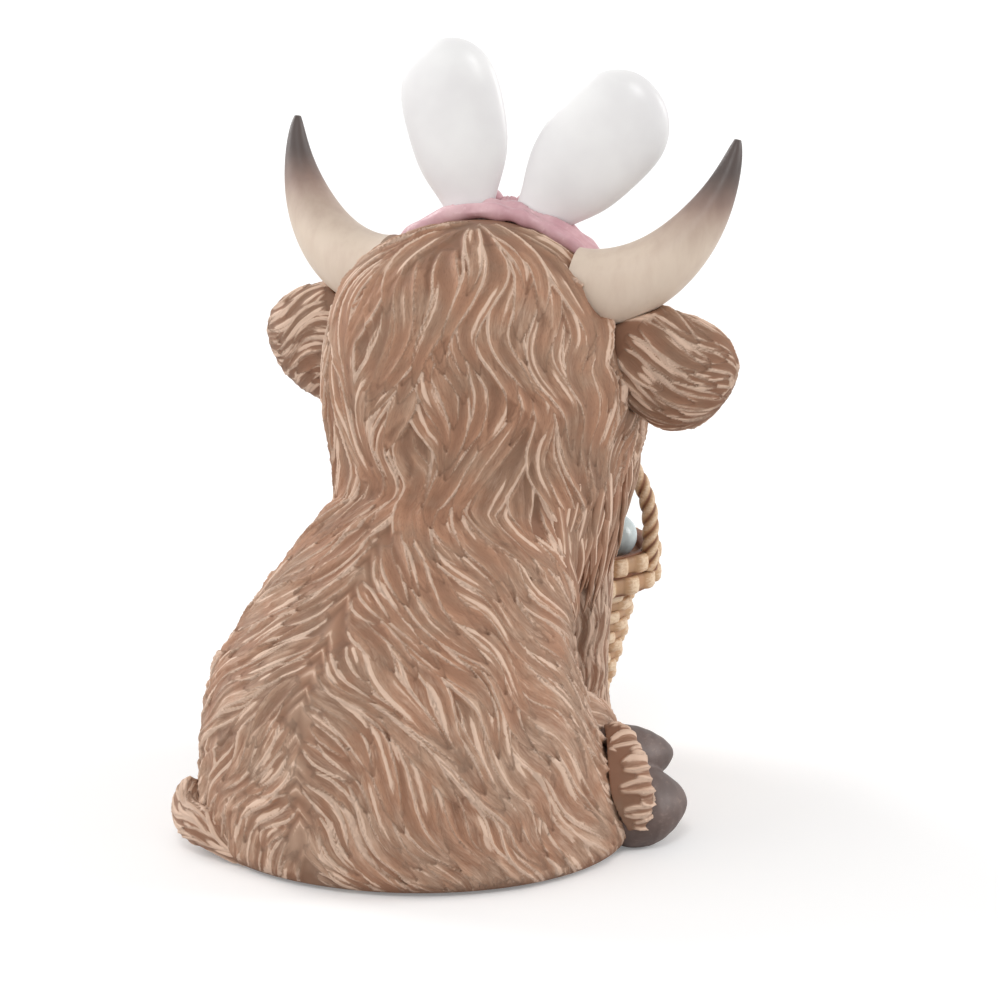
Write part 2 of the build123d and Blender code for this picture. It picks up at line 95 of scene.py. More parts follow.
def length_property(name, millimetres):
    return FloatProperty(name=name, description=name + " in the finished figurine", unit="LENGTH",
                         default=millimetres * MM, min=0, precision=5)


# Settings

class CoatSettings(bpy.types.PropertyGroup):
    # Groove colour: a dark wash in the hair's hollows, partly painted shade
    groove: colour_property("Groove colour", 124, 91, 71)
    coat: colour_property("Coat colour", 169, 131, 106)
    ridge: colour_property("Brushed ridge colour", 221, 191, 169)
    grain: length_property("Grain of the coat's mesh", 0.40)
    relief: length_property("Height of the hair ridges", 1.05)
    lock_width: length_property("Half width of a hair lock", 2.7)
    lock_length: length_property("Length of a hair lock", 31)
    wave_length: length_property("Length of the mane's waves", 30)
    wave_angle: FloatProperty(name="Wave angle", description="How far the mane's waves swing", subtype="ANGLE",
                              default=math.radians(44))
    seed: IntProperty(name="Seed", description="Start of the coat's random choices", default=11)


class TrimSettings(bpy.types.PropertyGroup):
    horn: colour_property("Horn colour", 214, 196, 178)
    horn_tip: colour_property("Horn tip colour", 74, 62, 58)
    hoof: colour_property("Hoof colour", 104, 86, 80)
    white: colour_property("Rabbit ear colour", 236, 235, 234)
    pink: colour_property("Ribbon colour", 222, 184, 188)
    blush: colour_property("Ear lining colour", 232, 188, 190)
    nose: colour_property("Nose colour", 198, 162, 144)
    band_fold: length_property("Depth of the band's folds", 0.45)


class BasketSettings(bpy.types.PropertyGroup):
    cane: colour_property("Cane colour", 206, 170, 132)
    shade: colour_property("Cane shade colour", 118, 74, 52)
    # The shade colour is painted shade, where the cane lies low in the weave
    weaver: length_property("Radius of a basket weaver", 1.25)
    swing: length_property("Swing of the weavers round the stakes", 0.55)
    stakes: IntProperty(name="Stakes", description="Number of upright stakes in the basket", default=20)


class StageSettings(bpy.types.PropertyGroup):
    distance: length_property("Camera distance", 700)
    lens: FloatProperty(name="Lens", description="Focal length of the camera", unit="CAMERA", default=127.8)


# Shader expressions

class Field:
    """A shader socket that takes part in Python expressions."""

    tree = None

    def __init__(self, socket):
        self.socket = socket

    @classmethod
    def node(cls, kind, settings=None, inputs=None, output=0):
        made = cls.tree.nodes.new(kind)
        for key, value in (settings or {}).items():
            setattr(made, key, value)
        for key, value in (inputs or {}).items():
            cls.feed(made.inputs[key], value)
        return cls(made.outputs[output])

    @classmethod
    def feed(cls, socket, value):
        if isinstance(value, Field):
            cls.tree.links.new(value.socket, socket)
        else:
            socket.default_value = value

    def with_other(self, operation, other, turned=False):
        pair = (other, self) if turned else (self, other)
        return Field.node("ShaderNodeMath", {"operation": operation}, dict(enumerate(pair)))

    def __add__(self, other):
        return self.with_other("ADD", other)

    def __sub__(self, other):
        return self.with_other("SUBTRACT", other)

    def __mul__(self, other):
        return self.with_other("MULTIPLY", other)

    def __truediv__(self, other):
        return self.with_other("DIVIDE", other)

    def __rsub__(self, other):
        return self.with_other("SUBTRACT", other, turned=True)

    def __rtruediv__(self, other):
        return self.with_other("DIVIDE", other, turned=True)

    __radd__ = __add__
    __rmul__ = __mul__

    def above(self, low, high):
        """0 below low, 1 above high, smooth between."""
        return Field.node("ShaderNodeMapRange", {"interpolation_type": "SMOOTHSTEP"},
                          {"Value": self, "From Min": low, "From Max": high})


def blend(mask, first, second, how="MIX"):
    """A colour between two others."""
    return Field.node("ShaderNodeMix", {"data_type": "RGBA", "blend_type": how}, {0: mask, 6: first, 7: second},
                      output=2)


def grain(place, scale, detail=3.0, roughness=0.6, stretch=(1, 1, 1)):
    """Noise between 0 and 1. The scale is in cells per metre."""
    sized = Field.node("ShaderNodeMapping", {"vector_type": "POINT"}, {"Vector": place, "Scale": stretch})
    return Field.node("ShaderNodeTexNoise", {}, {"Vector": sized, "Scale": scale, "Detail": detail,
                                                 "Roughness": roughness})


def dots(place, scale, feature):
    """Distance to the middles or the edges of scattered cells, of which there are so many per metre."""
    return Field.node("ShaderNodeTexVoronoi", {"feature": feature}, {"Vector": place, "Scale": scale})


def object_place():
    return Field.node("ShaderNodeTexCoord", output=3)


def attribute(name, output=2):
    return Field.node("ShaderNodeAttribute", {"attribute_name": name}, output=output)


def axis_of(place, axis):
    return Field.node("ShaderNodeSeparateXYZ", {}, {0: place}, output=axis)


def distance_to(place, point):
    return Field.node("ShaderNodeVectorMath", {"operation": "DISTANCE"}, {0: place, 1: point}, output=1)


def bump(height, distance, strength=1.0):
    return Field.node("ShaderNodeBump", {}, {"Height": height, "Distance": distance, "Strength": strength})


def new_material(name, recipe, **constants):
    """A Principled material whose varying sockets come from a recipe."""
    material = bpy.data.materials.get(name)
    if material:
        return material
    material = bpy.data.materials.new(name)
    material.use_nodes = True
    Field.tree = material.node_tree
    shader = Field.tree.nodes["Principled BSDF"]
    for socket_name, value in constants.items():
        shader.inputs[socket_name.replace("_", " ")].default_value = value
    for socket_name, value in recipe().items():
        Field.feed(shader.inputs[socket_name], value)
    return material


# Mesh helpers

def deselect():
    if bpy.context.object and bpy.context.object.mode != "OBJECT":
        bpy.ops.object.mode_set(mode="OBJECT")
    bpy.ops.object.select_all(action="DESELECT")


def make_active(piece):
    deselect()
    piece.select_set(True)
    bpy.context.view_layer.objects.active = piece


def name_piece(piece, name):
    piece.name = name
    piece.data.name = name
    return piece


def new_piece(name, bm):
    """A piece from a bmesh, which is freed."""
    mesh = bpy.data.meshes.new(name)
    bm.to_mesh(mesh)
    bm.free()
    piece = bpy.data.objects.new(name, mesh)
    bpy.context.scene.collection.objects.link(piece)
    return piece


def copy_of_nodes(name, *nodes):
    """One welded copy of some CAD nodes."""
    bm = bmesh.new()
    for node in nodes:
        bm.from_mesh(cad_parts[node].data)
    bmesh.ops.remove_doubles(bm, verts=bm.verts, dist=0.002 * MM)
    return new_piece(name, bm)


def apply_modifier(piece, kind, **settings):
    make_active(piece)
    modifier = piece.modifiers.new(kind.lower(), kind)
    for key, value in settings.items():
        setattr(modifier, key, value)
    bpy.ops.object.modifier_apply(modifier=modifier.name)


def remesh(piece, size, smoothing):
    """An even mesh of small faces, with its corners softened."""
    apply_modifier(piece, "REMESH", mode="VOXEL", voxel_size=size, use_smooth_shade=True)
    if smoothing:
        apply_modifier(piece, "SMOOTH", factor=0.5, iterations=smoothing)


def vertex_arrays(piece):
    """Places and normals of a piece's vertices, in millimetres."""
    count = len(piece.data.vertices)
    arrays = []
    for name in ("co", "normal"):
        values = np.empty(count * 3, np.float32)
        piece.data.vertices.foreach_get(name, values)
        arrays.append(values.reshape(-1, 3).astype(float))
    return arrays[0] / MM, arrays[1]


def move_vertices(piece, points):
    piece.data.vertices.foreach_set("co", (points * MM).astype(np.float32).ravel())
    piece.data.update()


def smooth_shade(piece, angle=None):
    make_active(piece)
    if angle is None:
        bpy.ops.object.shade_smooth()
    else:
        bpy.ops.object.shade_smooth_by_angle(angle=math.radians(angle))


def settle(piece, material, slot, *nodes):
    """Give a finished piece its material and its body, and hide the CAD nodes it stands for."""
    piece.data.materials.clear()
    piece.data.materials.append(material)
    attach(piece, "root")
    if nodes:
        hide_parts(*nodes)


def finish_node(node, material):
    """Give a CAD node its paint."""
    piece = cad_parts[node]
    piece.data.materials.clear()
    piece.data.materials.append(material)


def join(pieces, name):
    deselect()
    for piece in pieces:
        piece.select_set(True)
    bpy.context.view_layer.objects.active = pieces[0]
    bpy.ops.object.join()
    return name_piece(pieces[0], name)


def shaped_piece(name, node, size, smoothing, lift, material, slot):
    """An even copy of one CAD node, lifted along its normals by what a function of its points gives."""
    piece = copy_of_nodes(name, node)
    remesh(piece, size * MM, smoothing)
    points, normals = vertex_arrays(piece)
    move_vertices(piece, points + normals * lift(points)[:, None])
    smooth_shade(piece, 80)
    settle(piece, material, slot, node)


def box_of(node):
    """The corners of a CAD node's box, in millimetres."""
    return [np.array(corner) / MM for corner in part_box(node)]


def centre_of(node):
    """The middle of a CAD node's box, in metres."""
    low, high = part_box(node)
    return (Vector(low) + Vector(high)) / 2


def smoothstep(low, high, value):
    """0 at low, 1 at high, with soft ends."""
    share = min(max((value - low) / (high - low), 0.0), 1.0)
    return share * share * (3 - 2 * share)


# Hair locks

def rounded(share):
    """0 to 1 with soft ends, for arrays."""
    share = np.clip(share, 0, 1)
    return share * share * (3 - 2 * share)


class Pelt:
    """Hair locks combed over an even mesh. Its sizes are in millimetres."""

    REACH_UP = 2.5  # how far above or below its track a lock shapes the mesh
    REACH_OUT = 1.5  # and how far beside its edge
    SKIRT = 0.9  # width of the slope outside an edge
    BRUSH = 0.7  # half width of a brushed line

    def __init__(self, piece, settings, seed=0):
        self.piece = piece
        self.settings = settings
        self.random = random.Random(settings.seed + seed)
        self.points, self.normals = vertex_arrays(piece)
        count = len(self.points)
        self.height = np.zeros(count)
        self.crest = np.zeros(count)
        self.clumps = np.zeros(count)
        self.strand = np.zeros((count, 3))
        self.surface = BVHTree.FromObject(piece, bpy.context.evaluated_depsgraph_get())
        keys = np.floor(self.points / CELL).astype(int)
        order = np.lexsort((keys[:, 2], keys[:, 1], keys[:, 0]))
        unique, starts = np.unique(keys[order], axis=0, return_index=True)
        self.cells = {tuple(key): part for key, part in zip(unique, np.split(order, starts[1:]))}

    def near(self, track):
        """Numbers of the vertices in the cells round a track."""
        places = np.floor(track[::3] / CELL).astype(int)
        found = {tuple(place + shift) for place in places for shift in np.array(NEIGHBOURS)}
        parts = [self.cells[key] for key in sorted(found) if key in self.cells]
        return np.concatenate(parts) if parts else np.zeros(0, int)

    def trace(self, start, length, flow, step=1.0):
        """Follow the combing direction over the surface."""
        point, normal, _, _ = self.surface.find_nearest(Vector(start) * MM)
        track, ups = [point / MM], [normal]
        while len(track) * step < length:
            place, normal = track[-1], ups[-1]
            way = flow(place, normal)
            way = way - normal * way.dot(normal)
            if way.length < 1e-6:
                break
            point, normal, _, _ = self.surface.find_nearest((place + way.normalized() * step) * MM)
            track.append(point / MM)
            ups.append(normal)
        return np.array(track), np.array(ups)

    def roots(self, spacing, inside):
        """Evenly scattered root places, in a random order."""
        order = list(range(len(self.points)))
        self.random.shuffle(order)
        taken = {}
        chosen = []
        for index in order[: 40 * int(len(order) ** 0.5) + 20000]:
            point = self.points[index]
            key = tuple(np.floor(point / spacing).astype(int))
            close = any(np.linalg.norm(point - other) < spacing for dx, dy, dz in NEIGHBOURS
                        for other in taken.get((key[0] + dx, key[1] + dy, key[2] + dz), ()))
            if close or not inside(Vector(point), Vector(self.normals[index])):
                continue
            taken.setdefault(key, []).append(point)
            chosen.append(point)
        return chosen

    def beside(self, track, ups, width):
        """Numbers of the vertices near a track, how far along and beside it they lie, and its length."""
        steps = np.gradient(track, axis=0)
        ways = steps / np.maximum(np.linalg.norm(steps, axis=1, keepdims=True), 1e-9)
        across = np.cross(ups, ways)
        across /= np.maximum(np.linalg.norm(across, axis=1, keepdims=True), 1e-9)
        run = np.concatenate([[0], np.cumsum(np.linalg.norm(np.diff(track, axis=0), axis=1))])
        index = self.near(track)
        offset = self.points[index][:, None, :] - track[None]
        closest = np.argmin((offset ** 2).sum(axis=2), axis=1)
        offset = offset[np.arange(len(index)), closest]
        along = run[closest] + (offset * ways[closest]).sum(axis=1)
        side = (offset * across[closest]).sum(axis=1)
        lift = (offset * ups[closest]).sum(axis=1)
        facing = (self.normals[index] * ups[closest]).sum(axis=1)
        share = along / run[-1]
        keep = (share > 0) & (share < 1) & (np.abs(lift) < self.REACH_UP) & (facing > 0.1)
        keep &= np.abs(side) < width + self.REACH_OUT
        return index[keep], along[keep], side[keep], run[-1]

    def lay(self, start, flow, length, width, relief, ribs=2, root=5.0):
        """Press one lock on: raised edges that meet at its tip, ribs between them and hollows beside those."""
        track, ups = self.trace(start, length, flow)
        if len(track) < 5:
            return
        index, along, side, full = self.beside(track, ups, width)
        if not len(index):
            return
        share = along / full
        half = width * (0.45 + 0.55 * rounded(share / 0.4)) * np.clip(1 - share ** 3.2, 0, 1) ** 0.8
        half = np.maximum(half, 0.05)
        place = side / half
        fade = rounded(along / min(root, 0.3 * full))
        swell = np.clip(np.sin(math.pi * np.clip(share, 0, 1) ** 0.8), 0, 1) ** 0.6
        flank = 0.5 * width + 0.45
        choose = self.random.uniform
        # Each edge or rib: its place across the lock, how high, how brightly brushed, and from where to where
        edges = [(end, choose(0.6, 1.0), choose(0.35, 1.1), 0.0, 1.2) for end in (-1.0, 1.0)]
        for rib in range(ribs):
            middle = -1 + 2 * (rib + 0.5 + choose(-0.35, 0.35)) / ribs
            first = choose(0.0, 0.5)
            edges.append((middle, choose(0.35, 0.85), choose(0.3, 1.1), first, first + choose(0.35, 0.8)))
        tilt = choose(-0.28, 0.28)
        inner = 0.12 * (1 - place ** 2) + tilt * np.clip(place, -1, 1)
        line = np.zeros(len(index))
        ridge = np.zeros(len(index))
        for middle, strength, brushed, first, last in edges:
            gap = np.abs(place - middle) * half
            reach = swell * np.clip((share - first) / 0.12, 0, 1) * np.clip((last - share) / 0.15, 0, 1)
            ridge = np.maximum(ridge, strength * reach * np.clip(1 - gap / flank, 0, 1) ** 2)
            line = np.maximum(line, brushed * reach * np.clip(1 - gap / self.BRUSH, 0, 1))
        rise = 0.22 * share * swell
        inner = relief * (inner * swell + ridge + rise)
        within = np.abs(place) <= 1
        beyond = np.clip(np.abs(side) - half, 0, None)
        edge_strength = np.where(side < 0, edges[0][1], edges[1][1])
        skirt = relief * ((edge_strength + tilt * np.sign(place)) * swell + rise)
        skirt = skirt * np.clip(1 - beyond / self.SKIRT, 0, 1) ** 2
        old = self.height[index]
        self.height[index] = np.where(within, old + (inner - old) * fade,
                                      np.maximum(old, skirt * fade + old * (1 - fade)))
        line_out = line * np.clip(1 - beyond / self.BRUSH, 0, 1)
        old = self.crest[index]
        self.crest[index] = np.where(within, old + (line - old) * fade, np.maximum(old, line_out * fade))
        taken = within & (fade > 0.5)
        number = choose(0, 60)
        self.strand[index[taken]] = np.stack([side[taken] + number * 7, along[taken] * 0.13 + number,
                                              np.full(taken.sum(), number * 3)], axis=1)

    def comb(self, flow, spacing, length, width, relief, order, inside=lambda point, normal: True,
             ribs=(1, 3), root=5.0):
        """Cover the mesh with locks, the ones further down the hair first."""
        places = self.roots(spacing, inside)
        places.sort(key=lambda point: order(Vector(point)))
        for place in places:
            size = self.random.uniform(0.65, 1.3)
            self.lay(place, flow, length * self.random.uniform(0.7, 1.25), width * size,
                     relief * self.random.uniform(0.75, 1.1), self.random.randint(*ribs), root)

    def keep_clumps(self, share):
        """Leave the broad clumps under the locks that follow."""
        self.clumps = self.clumps + share * self.height
        self.height = np.zeros(len(self.points))
        self.crest = np.zeros(len(self.points))

    def press(self, sink=0.25, frost=0.0):
        """Move the mesh by the hair's height. Frost makes all of it paler."""
        moved = self.points + self.normals * (self.height + self.clumps - sink)[:, None]
        moved[:, 2] = np.maximum(moved[:, 2], LOWEST)
        move_vertices(self.piece, moved)
        top = max(self.settings.relief / MM, 0.1)
        keep_hair(self.piece.data, (self.height + 0.5 * self.clumps) / top, self.crest + frost, self.strand)


def keep_hair(mesh, height, crest, strand):
    """Keep the hair's measures as attributes, for the paint."""
    for name, kind, key, values in (("hair_height", "FLOAT", "value", height),
                                    ("hair_crest", "FLOAT", "value", crest),
                                    ("hair_strand", "FLOAT_VECTOR", "vector", strand)):
        layer = mesh.attributes.new(name, kind, "POINT")
        layer.data.foreach_set(key, np.array(values, np.float32).ravel())


def turned(way, normal, angle):
    return Matrix.Rotation(angle, 3, normal) @ way


def wave(settings, place, run):
    """Swing of the hair, which changes slowly over the surface."""
    phase = 2.4 * math.pi * noise.noise(place / WAVE_PATCH)
    swing = settings.wave_angle * (0.75 + 0.6 * noise.noise(place / SWING_PATCH + Vector((9, 4, 2))))
    return swing * math.cos(2 * math.pi * run / (settings.wave_length / MM) + phase)


def spine_x(height):
    return SPINE_MIDDLE + SPINE_SWING * math.sin(height / SPINE_BEND)


def height_of(point):
    """Order in which locks are laid: the lowest first."""
    return point.z


def coat_flow(settings):
    """Hair of head and body: down from the crown in waves, and away from the spine on the back."""
    def flow(place, normal):
        down = -UP + normal * normal.z
        if down.length < 0.05:
            down = Vector((place.x, place.y + 24.0, 0))
        down = down.normalized()
        side = 1.0 if place.x > spine_x(place.z) else -1.0
        outward = normal.cross(UP)
        outward = outward.normalized() * side if outward.length > 1e-6 else Vector((side, 0, 0))
        turn = math.degrees(math.atan2(abs(place.x - spine_x(place.z)), place.y - 6.0))
        body = 1 - smoothstep(52, 72, place.z)
        fan = 46 - 16 * smoothstep(5, 35, turn)
        fan = fan + 20 * smoothstep(45, 85, turn) * (1 - smoothstep(22, 52, place.z))
        fan *= 1 - smoothstep(110, 150, turn)
        angle = math.radians(fan) * body
        way = down * math.cos(angle) + outward * math.sin(angle)
        swing = wave(settings, place, place.z) * (0.6 + 0.4 * (1 - body))
        swing *= smoothstep(0, 0.35, 1 - abs(normal.z))
        return turned(way, normal, swing)
    return flow


def straight_flow(settings, way, swing_share=0.35):
    """Hair along one direction, with a slight wave."""
    def flow(place, normal):
        run = place.dot(way)
        return turned(way - normal * way.dot(normal), normal, swing_share * wave(settings, place, run))
    return flow


def coat_material():
    settings = bpy.context.scene.figurine_coat

    def recipe():
        height = attribute("hair_height")
        crest = attribute("hair_crest")
        strand = attribute("hair_strand", 1)
        place = object_place()
        fine = grain(strand, 2.3, 4.0, 0.62)
        broad = grain(strand, 0.55, 2.0, 0.5)
        patch = grain(place, 90.0)
        thin = grain(strand, 6.0, 2.0, 0.5)
        speck = grain(place, 1500.0, 2.0)
        # Darker in the hollows of the hair and along fine strand lines: a dark wash, partly painted shade
        depth = height.above(-0.15, 0.75)
        base = blend(depth, settings.groove, settings.coat)
        base = blend((1 - thin).above(0.5, 0.66) * 0.4, base, settings.groove)
        warm = blend(patch.above(0.35, 0.65), (1.06, 0.985, 0.95, 1), (0.95, 1.0, 1.02, 1))
        base = blend(1.0, base, warm, "MULTIPLY")
        low = 1 - axis_of(place, 2).above(15 * MM, 75 * MM)
        brushed = (crest * 1.3 + fine * 1.1 + broad * 0.5 + height * 0.1 + low * 0.1 - 1.2).above(0.0, 0.5)
        wash = (fine * 0.9 + broad * 0.6 + patch * 0.6 + height * 0.3 + low * 0.16 - 1.16).above(0.0, 0.6) * 0.6
        paler = brushed.with_other("MAXIMUM", wash)
        colour = blend(paler * 0.9, base, settings.ridge)
        rough = 0.62 + speck * 0.12 - paler * 0.05
        relief = fine * 0.6 + thin * 0.5 + speck * 0.2 + paler * 0.25
        return {"Base Color": colour, "Roughness": rough, "Normal": bump(relief, 0.25 * MM, 0.7)}

    return new_material("brushed_coat", recipe, Specular_IOR_Level=0.35)


# Main forms of hair

def ease_haunches(piece):
    """Draw in the front of both haunches, above the hooves."""
    points, normals = vertex_arrays(piece)
    front = rounded((-4 - points[:, 1]) / 12) * rounded((np.abs(points[:, 0]) - 12) / 8)
    front *= rounded((points[:, 2] - 8) / 10) * rounded((40 - points[:, 2]) / 8)
    points -= normals * (1.7 * front)[:, None]
    move_vertices(piece, points)


def thin(piece, seam):
    """Fewer triangles where the surface is smooth. The ring at the seam's height stays."""
    triangles = sum(len(face.vertices) - 2 for face in piece.data.polygons)
    if triangles <= MOST_TRIANGLES:
        return
    ring = piece.vertex_groups.new(name="seam")
    near = [vertex.index for vertex in piece.data.vertices if abs(vertex.co.z - seam) < 0.5 * MM]
    ring.add(near, 1.0, "REPLACE")
    apply_modifier(piece, "DECIMATE", ratio=MOST_TRIANGLES / triangles, vertex_group="seam",
                   invert_vertex_group=True, vertex_group_factor=1000)
    piece.vertex_groups.clear()


def keep_part(piece, upper):
    """Cut the coat at the seam and keep its upper part, or its lower one, which gets a flat sole."""
    cut = Vector((0, 0, SEAM_HEIGHT * MM))
    bm = bmesh.new()
    bm.from_mesh(piece.data)
    if not upper:
        under = [face for face in bm.faces if face.normal.z < -0.9 and face.calc_center_median().z < 1.2 * MM]
        bmesh.ops.delete(bm, geom=under, context="FACES")
        bmesh.ops.edgeloop_fill(bm, edges=[edge for edge in bm.edges if edge.is_boundary])
    made = bmesh.ops.bisect_plane(bm, geom=bm.verts[:] + bm.edges[:] + bm.faces[:], plane_co=cut, plane_no=UP,
                                  clear_inner=upper, clear_outer=not upper)
    rim = [item for item in made["geom_cut"] if isinstance(item, bmesh.types.BMEdge)]
    bmesh.ops.edgeloop_fill(bm, edges=rim)
    bm.to_mesh(piece.data)
    bm.free()
    thin(piece, cut.z)
    smooth_shade(piece, 70)


class FIGURINE_OT_coat(bpy.types.Operator):
    """Head and body: one combed coat, parted along the spine, then cut into its two pieces"""
    bl_idname = "figurine.coat"
    bl_label = "Head and body coat"

    def execute(self, context):
        settings = context.scene.figurine_coat
        whole = copy_of_nodes("coat", "body_casting", "head_casting")
        remesh(whole, settings.grain, 22)
        ease_haunches(whole)
        pelt = Pelt(whole, settings)
        flow = coat_flow(settings)
        relief = settings.relief / MM
        length, width = settings.lock_length / MM, settings.lock_width / MM

        def open_to_view(point, normal):
            return point.z > 3 and normal.z > -0.85

        pelt.comb(flow, 7.0, 1.2 * length, 2.1 * width, relief, height_of, open_to_view, ribs=(0, 0))
        pelt.keep_clumps(0.75)
        pelt.comb(flow, 3.6, length, width, relief, height_of, open_to_view, ribs=(1, 2))

        def by_spine(point, normal):
            near = point.z < 64 and point.y > 8 and abs(point.x - spine_x(point.z)) < 4.5
            return near and open_to_view(point, normal)

        pelt.comb(flow, 2.6, 15, 1.6, 0.8 * relief, height_of, by_spine, ribs=(0, 1), root=2.0)
        self.dress_spine(pelt, relief)
        foot = np.clip((pelt.points[:, 2] - 0.8) / 2.5, 0, 1)
        pelt.height *= foot
        pelt.clumps *= foot
        pelt.press(0.45)
        body = whole.copy()
        body.data = whole.data.copy()
        context.scene.collection.objects.link(body)
        keep_part(whole, True)
        keep_part(body, False)
        settle(name_piece(whole, "head_coat"), coat_material(), "fur", "head_casting")
        settle(name_piece(body, "body_coat"), coat_material(), "fur", "body_casting")
        return {"FINISHED"}

    def dress_spine(self, pelt, relief):
        """A shallow parting on the back, with short hairs where the locks leave it bare."""
        height, behind = pelt.points[:, 2], pelt.points[:, 1] > 5
        away = np.abs(pelt.points[:, 0] - (SPINE_MIDDLE + SPINE_SWING * np.sin(height / SPINE_BEND)))
        pelt.clumps -= 0.12 * np.exp(-(away / 1.6) ** 2) * np.clip((64 - height) / 12, 0, 1) * behind
        uneven = 1.1 * np.sin(height * 0.31) + 0.7 * np.sin(height * 0.83 + away)
        fishbone = np.sin((height + 1.1 * away + uneven) * 1.7)
        bare = np.exp(-(away / 3.4) ** 2) * np.clip((68 - height) / 12, 0, 1) * np.clip((height - 3) / 5, 0, 1)
        bare *= behind * np.clip(1 - pelt.crest * 1.5, 0, 1)
        pelt.height += relief * bare * (0.36 + 0.2 * fishbone)
        pelt.crest = np.maximum(pelt.crest, bare * np.clip(fishbone, 0, 1) ** 1.5 * 0.5)


def tube_faces(first, rings, section):
    """Faces of a closed tube, whose rings of corners are numbered one after the other."""
    faces = []
    for here in range(first, first + (rings - 1) * section, section):
        for corner in range(section):
            after = (corner + 1) % section
            faces.append((here + corner, here + corner + section, here + after + section, here + after))
    last = first + (rings - 1) * section
    return faces + [tuple(range(first, first + section)), tuple(reversed(range(last, last + section)))]


def tube_piece(name, points, faces):
    """A piece made of closed tubes, given in millimetres."""
    mesh = bpy.data.meshes.new(name)
    mesh.from_pydata([tuple(point * MM) for point in points], [], faces)
    bm = bmesh.new()
    bm.from_mesh(mesh)
    bpy.data.meshes.remove(mesh)
    bmesh.ops.recalc_face_normals(bm, faces=bm.faces)
    return new_piece(name, bm)


def lock_mesh(routes, seed):
    """Tapered locks along given routes, as arrays: each has a raised ridge and ends in a point."""
    chance = random.Random(seed)
    points, faces, heights, crests, strands = [], [], [], [], []
    section = 14
    for route, outs, width, thickness in routes:
        number = chance.uniform(0, 60)
        lean = chance.uniform(-0.35, 0.35)
        brushed = chance.uniform(0.75, 1.25)
        steps = len(route)
        first = len(points)
        run = 0.0
        for step, (place, out) in enumerate(zip(route, outs)):
            ahead = (route[min(step + 1, steps - 1)] - route[max(step - 1, 0)]).normalized()
            across = ahead.cross(out).normalized()
            share = step / (steps - 1)
            grow = 0.45 + 0.55 * smoothstep(0, 0.35, share)
            half = width * grow * max(1 - share ** 2.6, 0.0) ** 0.8 + 0.06
            thick = thickness * grow * max(1 - share ** 3.0, 0.0) ** 0.7 + 0.05
            if step:
                run += (place - route[step - 1]).length
            for corner in range(section):
                around = 2 * math.pi * corner / section
                side, up = math.cos(around), math.sin(around)
                ridge = max(1 - abs(side - lean) * 2.2, 0.0) ** 1.5 * (1 if up > 0 else 0)
                edge = max(abs(side) - 0.55, 0.0) * (1 if up > 0 else 0)
                lift = thick * (0.72 * up + 0.42 * ridge + 0.2 * edge)
                points.append(place + across * (half * side) + out.normalized() * lift)
                heights.append(0.25 + 0.8 * ridge + 0.3 * edge)
                crests.append(brushed * min(1.0, ridge + 0.8 * edge) if up > 0 else 0.0)
                strands.append((half * side + number * 7, run * 0.13 + number, number * 3))
        faces += tube_faces(first, steps, section)
    return points, faces, heights, crests, strands


def hang_locks(name, routes, seed):
    """A piece of separate locks, painted as the coat is."""
    points, faces, heights, crests, strands = lock_mesh(routes, seed)
    piece = tube_piece(name, points, faces)
    keep_hair(piece.data, heights, crests, strands)
    apply_modifier(piece, "SUBSURF", levels=1, render_levels=1)
    smooth_shade(piece)
    settle(piece, coat_material(), "fur")


def draped_route(surface, turn, side, top, length, out_by, sway, phase):
    """Places of one mane tip, from under the coat down over what the surface tree holds, and its way out."""
    arm = Vector((side * math.sin(turn), -math.cos(turn), 0))
    across = Vector((-arm.y, arm.x, 0)) * side
    route, radius, steps = [], None, 22
    for step in range(steps + 1):
        share = step / steps
        axis = Vector((0, NECK_Y, top - length * share))
        hit, _, _, _ = surface.ray_cast((axis + arm * 70) * MM, -arm)
        found = (hit / MM - axis).dot(arm) if hit else 0.0
        radius = found if radius is None else max(found, radius - 0.22 * length / steps)
        swing = sway * share + 1.3 * math.sin(2 * math.pi * share * length / 24 + phase)
        depth = radius + out_by - TIP_ROOT * (1 - smoothstep(0.15, 0.7, share))
        route.append(axis + arm * depth + across * swing)
    return route, [arm] * (steps + 1)


class FIGURINE_OT_mane_tips(bpy.types.Operator):
    """Pointed ends of the mane that hang over the neck and the forelegs"""
    bl_idname = "figurine.mane_tips"
    bl_label = "Mane tips"

    def execute(self, context):
        settings = context.scene.figurine_coat
        support = copy_of_nodes("tip_support", "head_casting", "body_casting", "foreleg_left", "foreleg_right")
        surface = BVHTree.FromObject(support, context.evaluated_depsgraph_get())
        for side, name in ((1, "left"), (-1, "right")):
            chance = random.Random(settings.seed + 5 * side)
            routes = []
            for top, spacing, out_by in TIP_ROWS:
                angle = chance.uniform(*TIP_START)
                while angle < TIP_STOP:
                    over_leg = smoothstep(62, 78, angle)
                    length = top - TIP_ENDS + over_leg * 15 + chance.uniform(-1.0, 3.5) * (1 + over_leg)
                    sway, phase = chance.uniform(-1.2, 1.2), chance.uniform(0, 6.28)
                    route, outs = draped_route(surface, math.radians(angle), side, top, length, out_by, sway,
                                               phase)
                    routes.append((route, outs, chance.uniform(1.7, 2.8), chance.uniform(0.9, 1.3)))
                    angle += spacing * chance.uniform(0.8, 1.2)
            hang_locks("mane_tips_" + name, routes, settings.seed + 7 * side)
        bpy.data.objects.remove(support)
        return {"FINISHED"}


def fur_piece(name, node, size, smoothing, seed, flow, locks, sink, frost=0.0, shape=None, slot="fur"):
    """A combed piece over one CAD node. The locks are set as in Pelt.comb, and sizes are in millimetres."""
    piece = copy_of_nodes(name, node)
    remesh(piece, size * MM, smoothing)
    if shape:
        move_vertices(piece, shape(vertex_arrays(piece)[0]))
    pelt = Pelt(piece, bpy.context.scene.figurine_coat, seed)
    pelt.comb(flow, **locks)
    pelt.press(sink, frost)
    smooth_shade(piece, 80)
    settle(piece, coat_material(), slot, node)


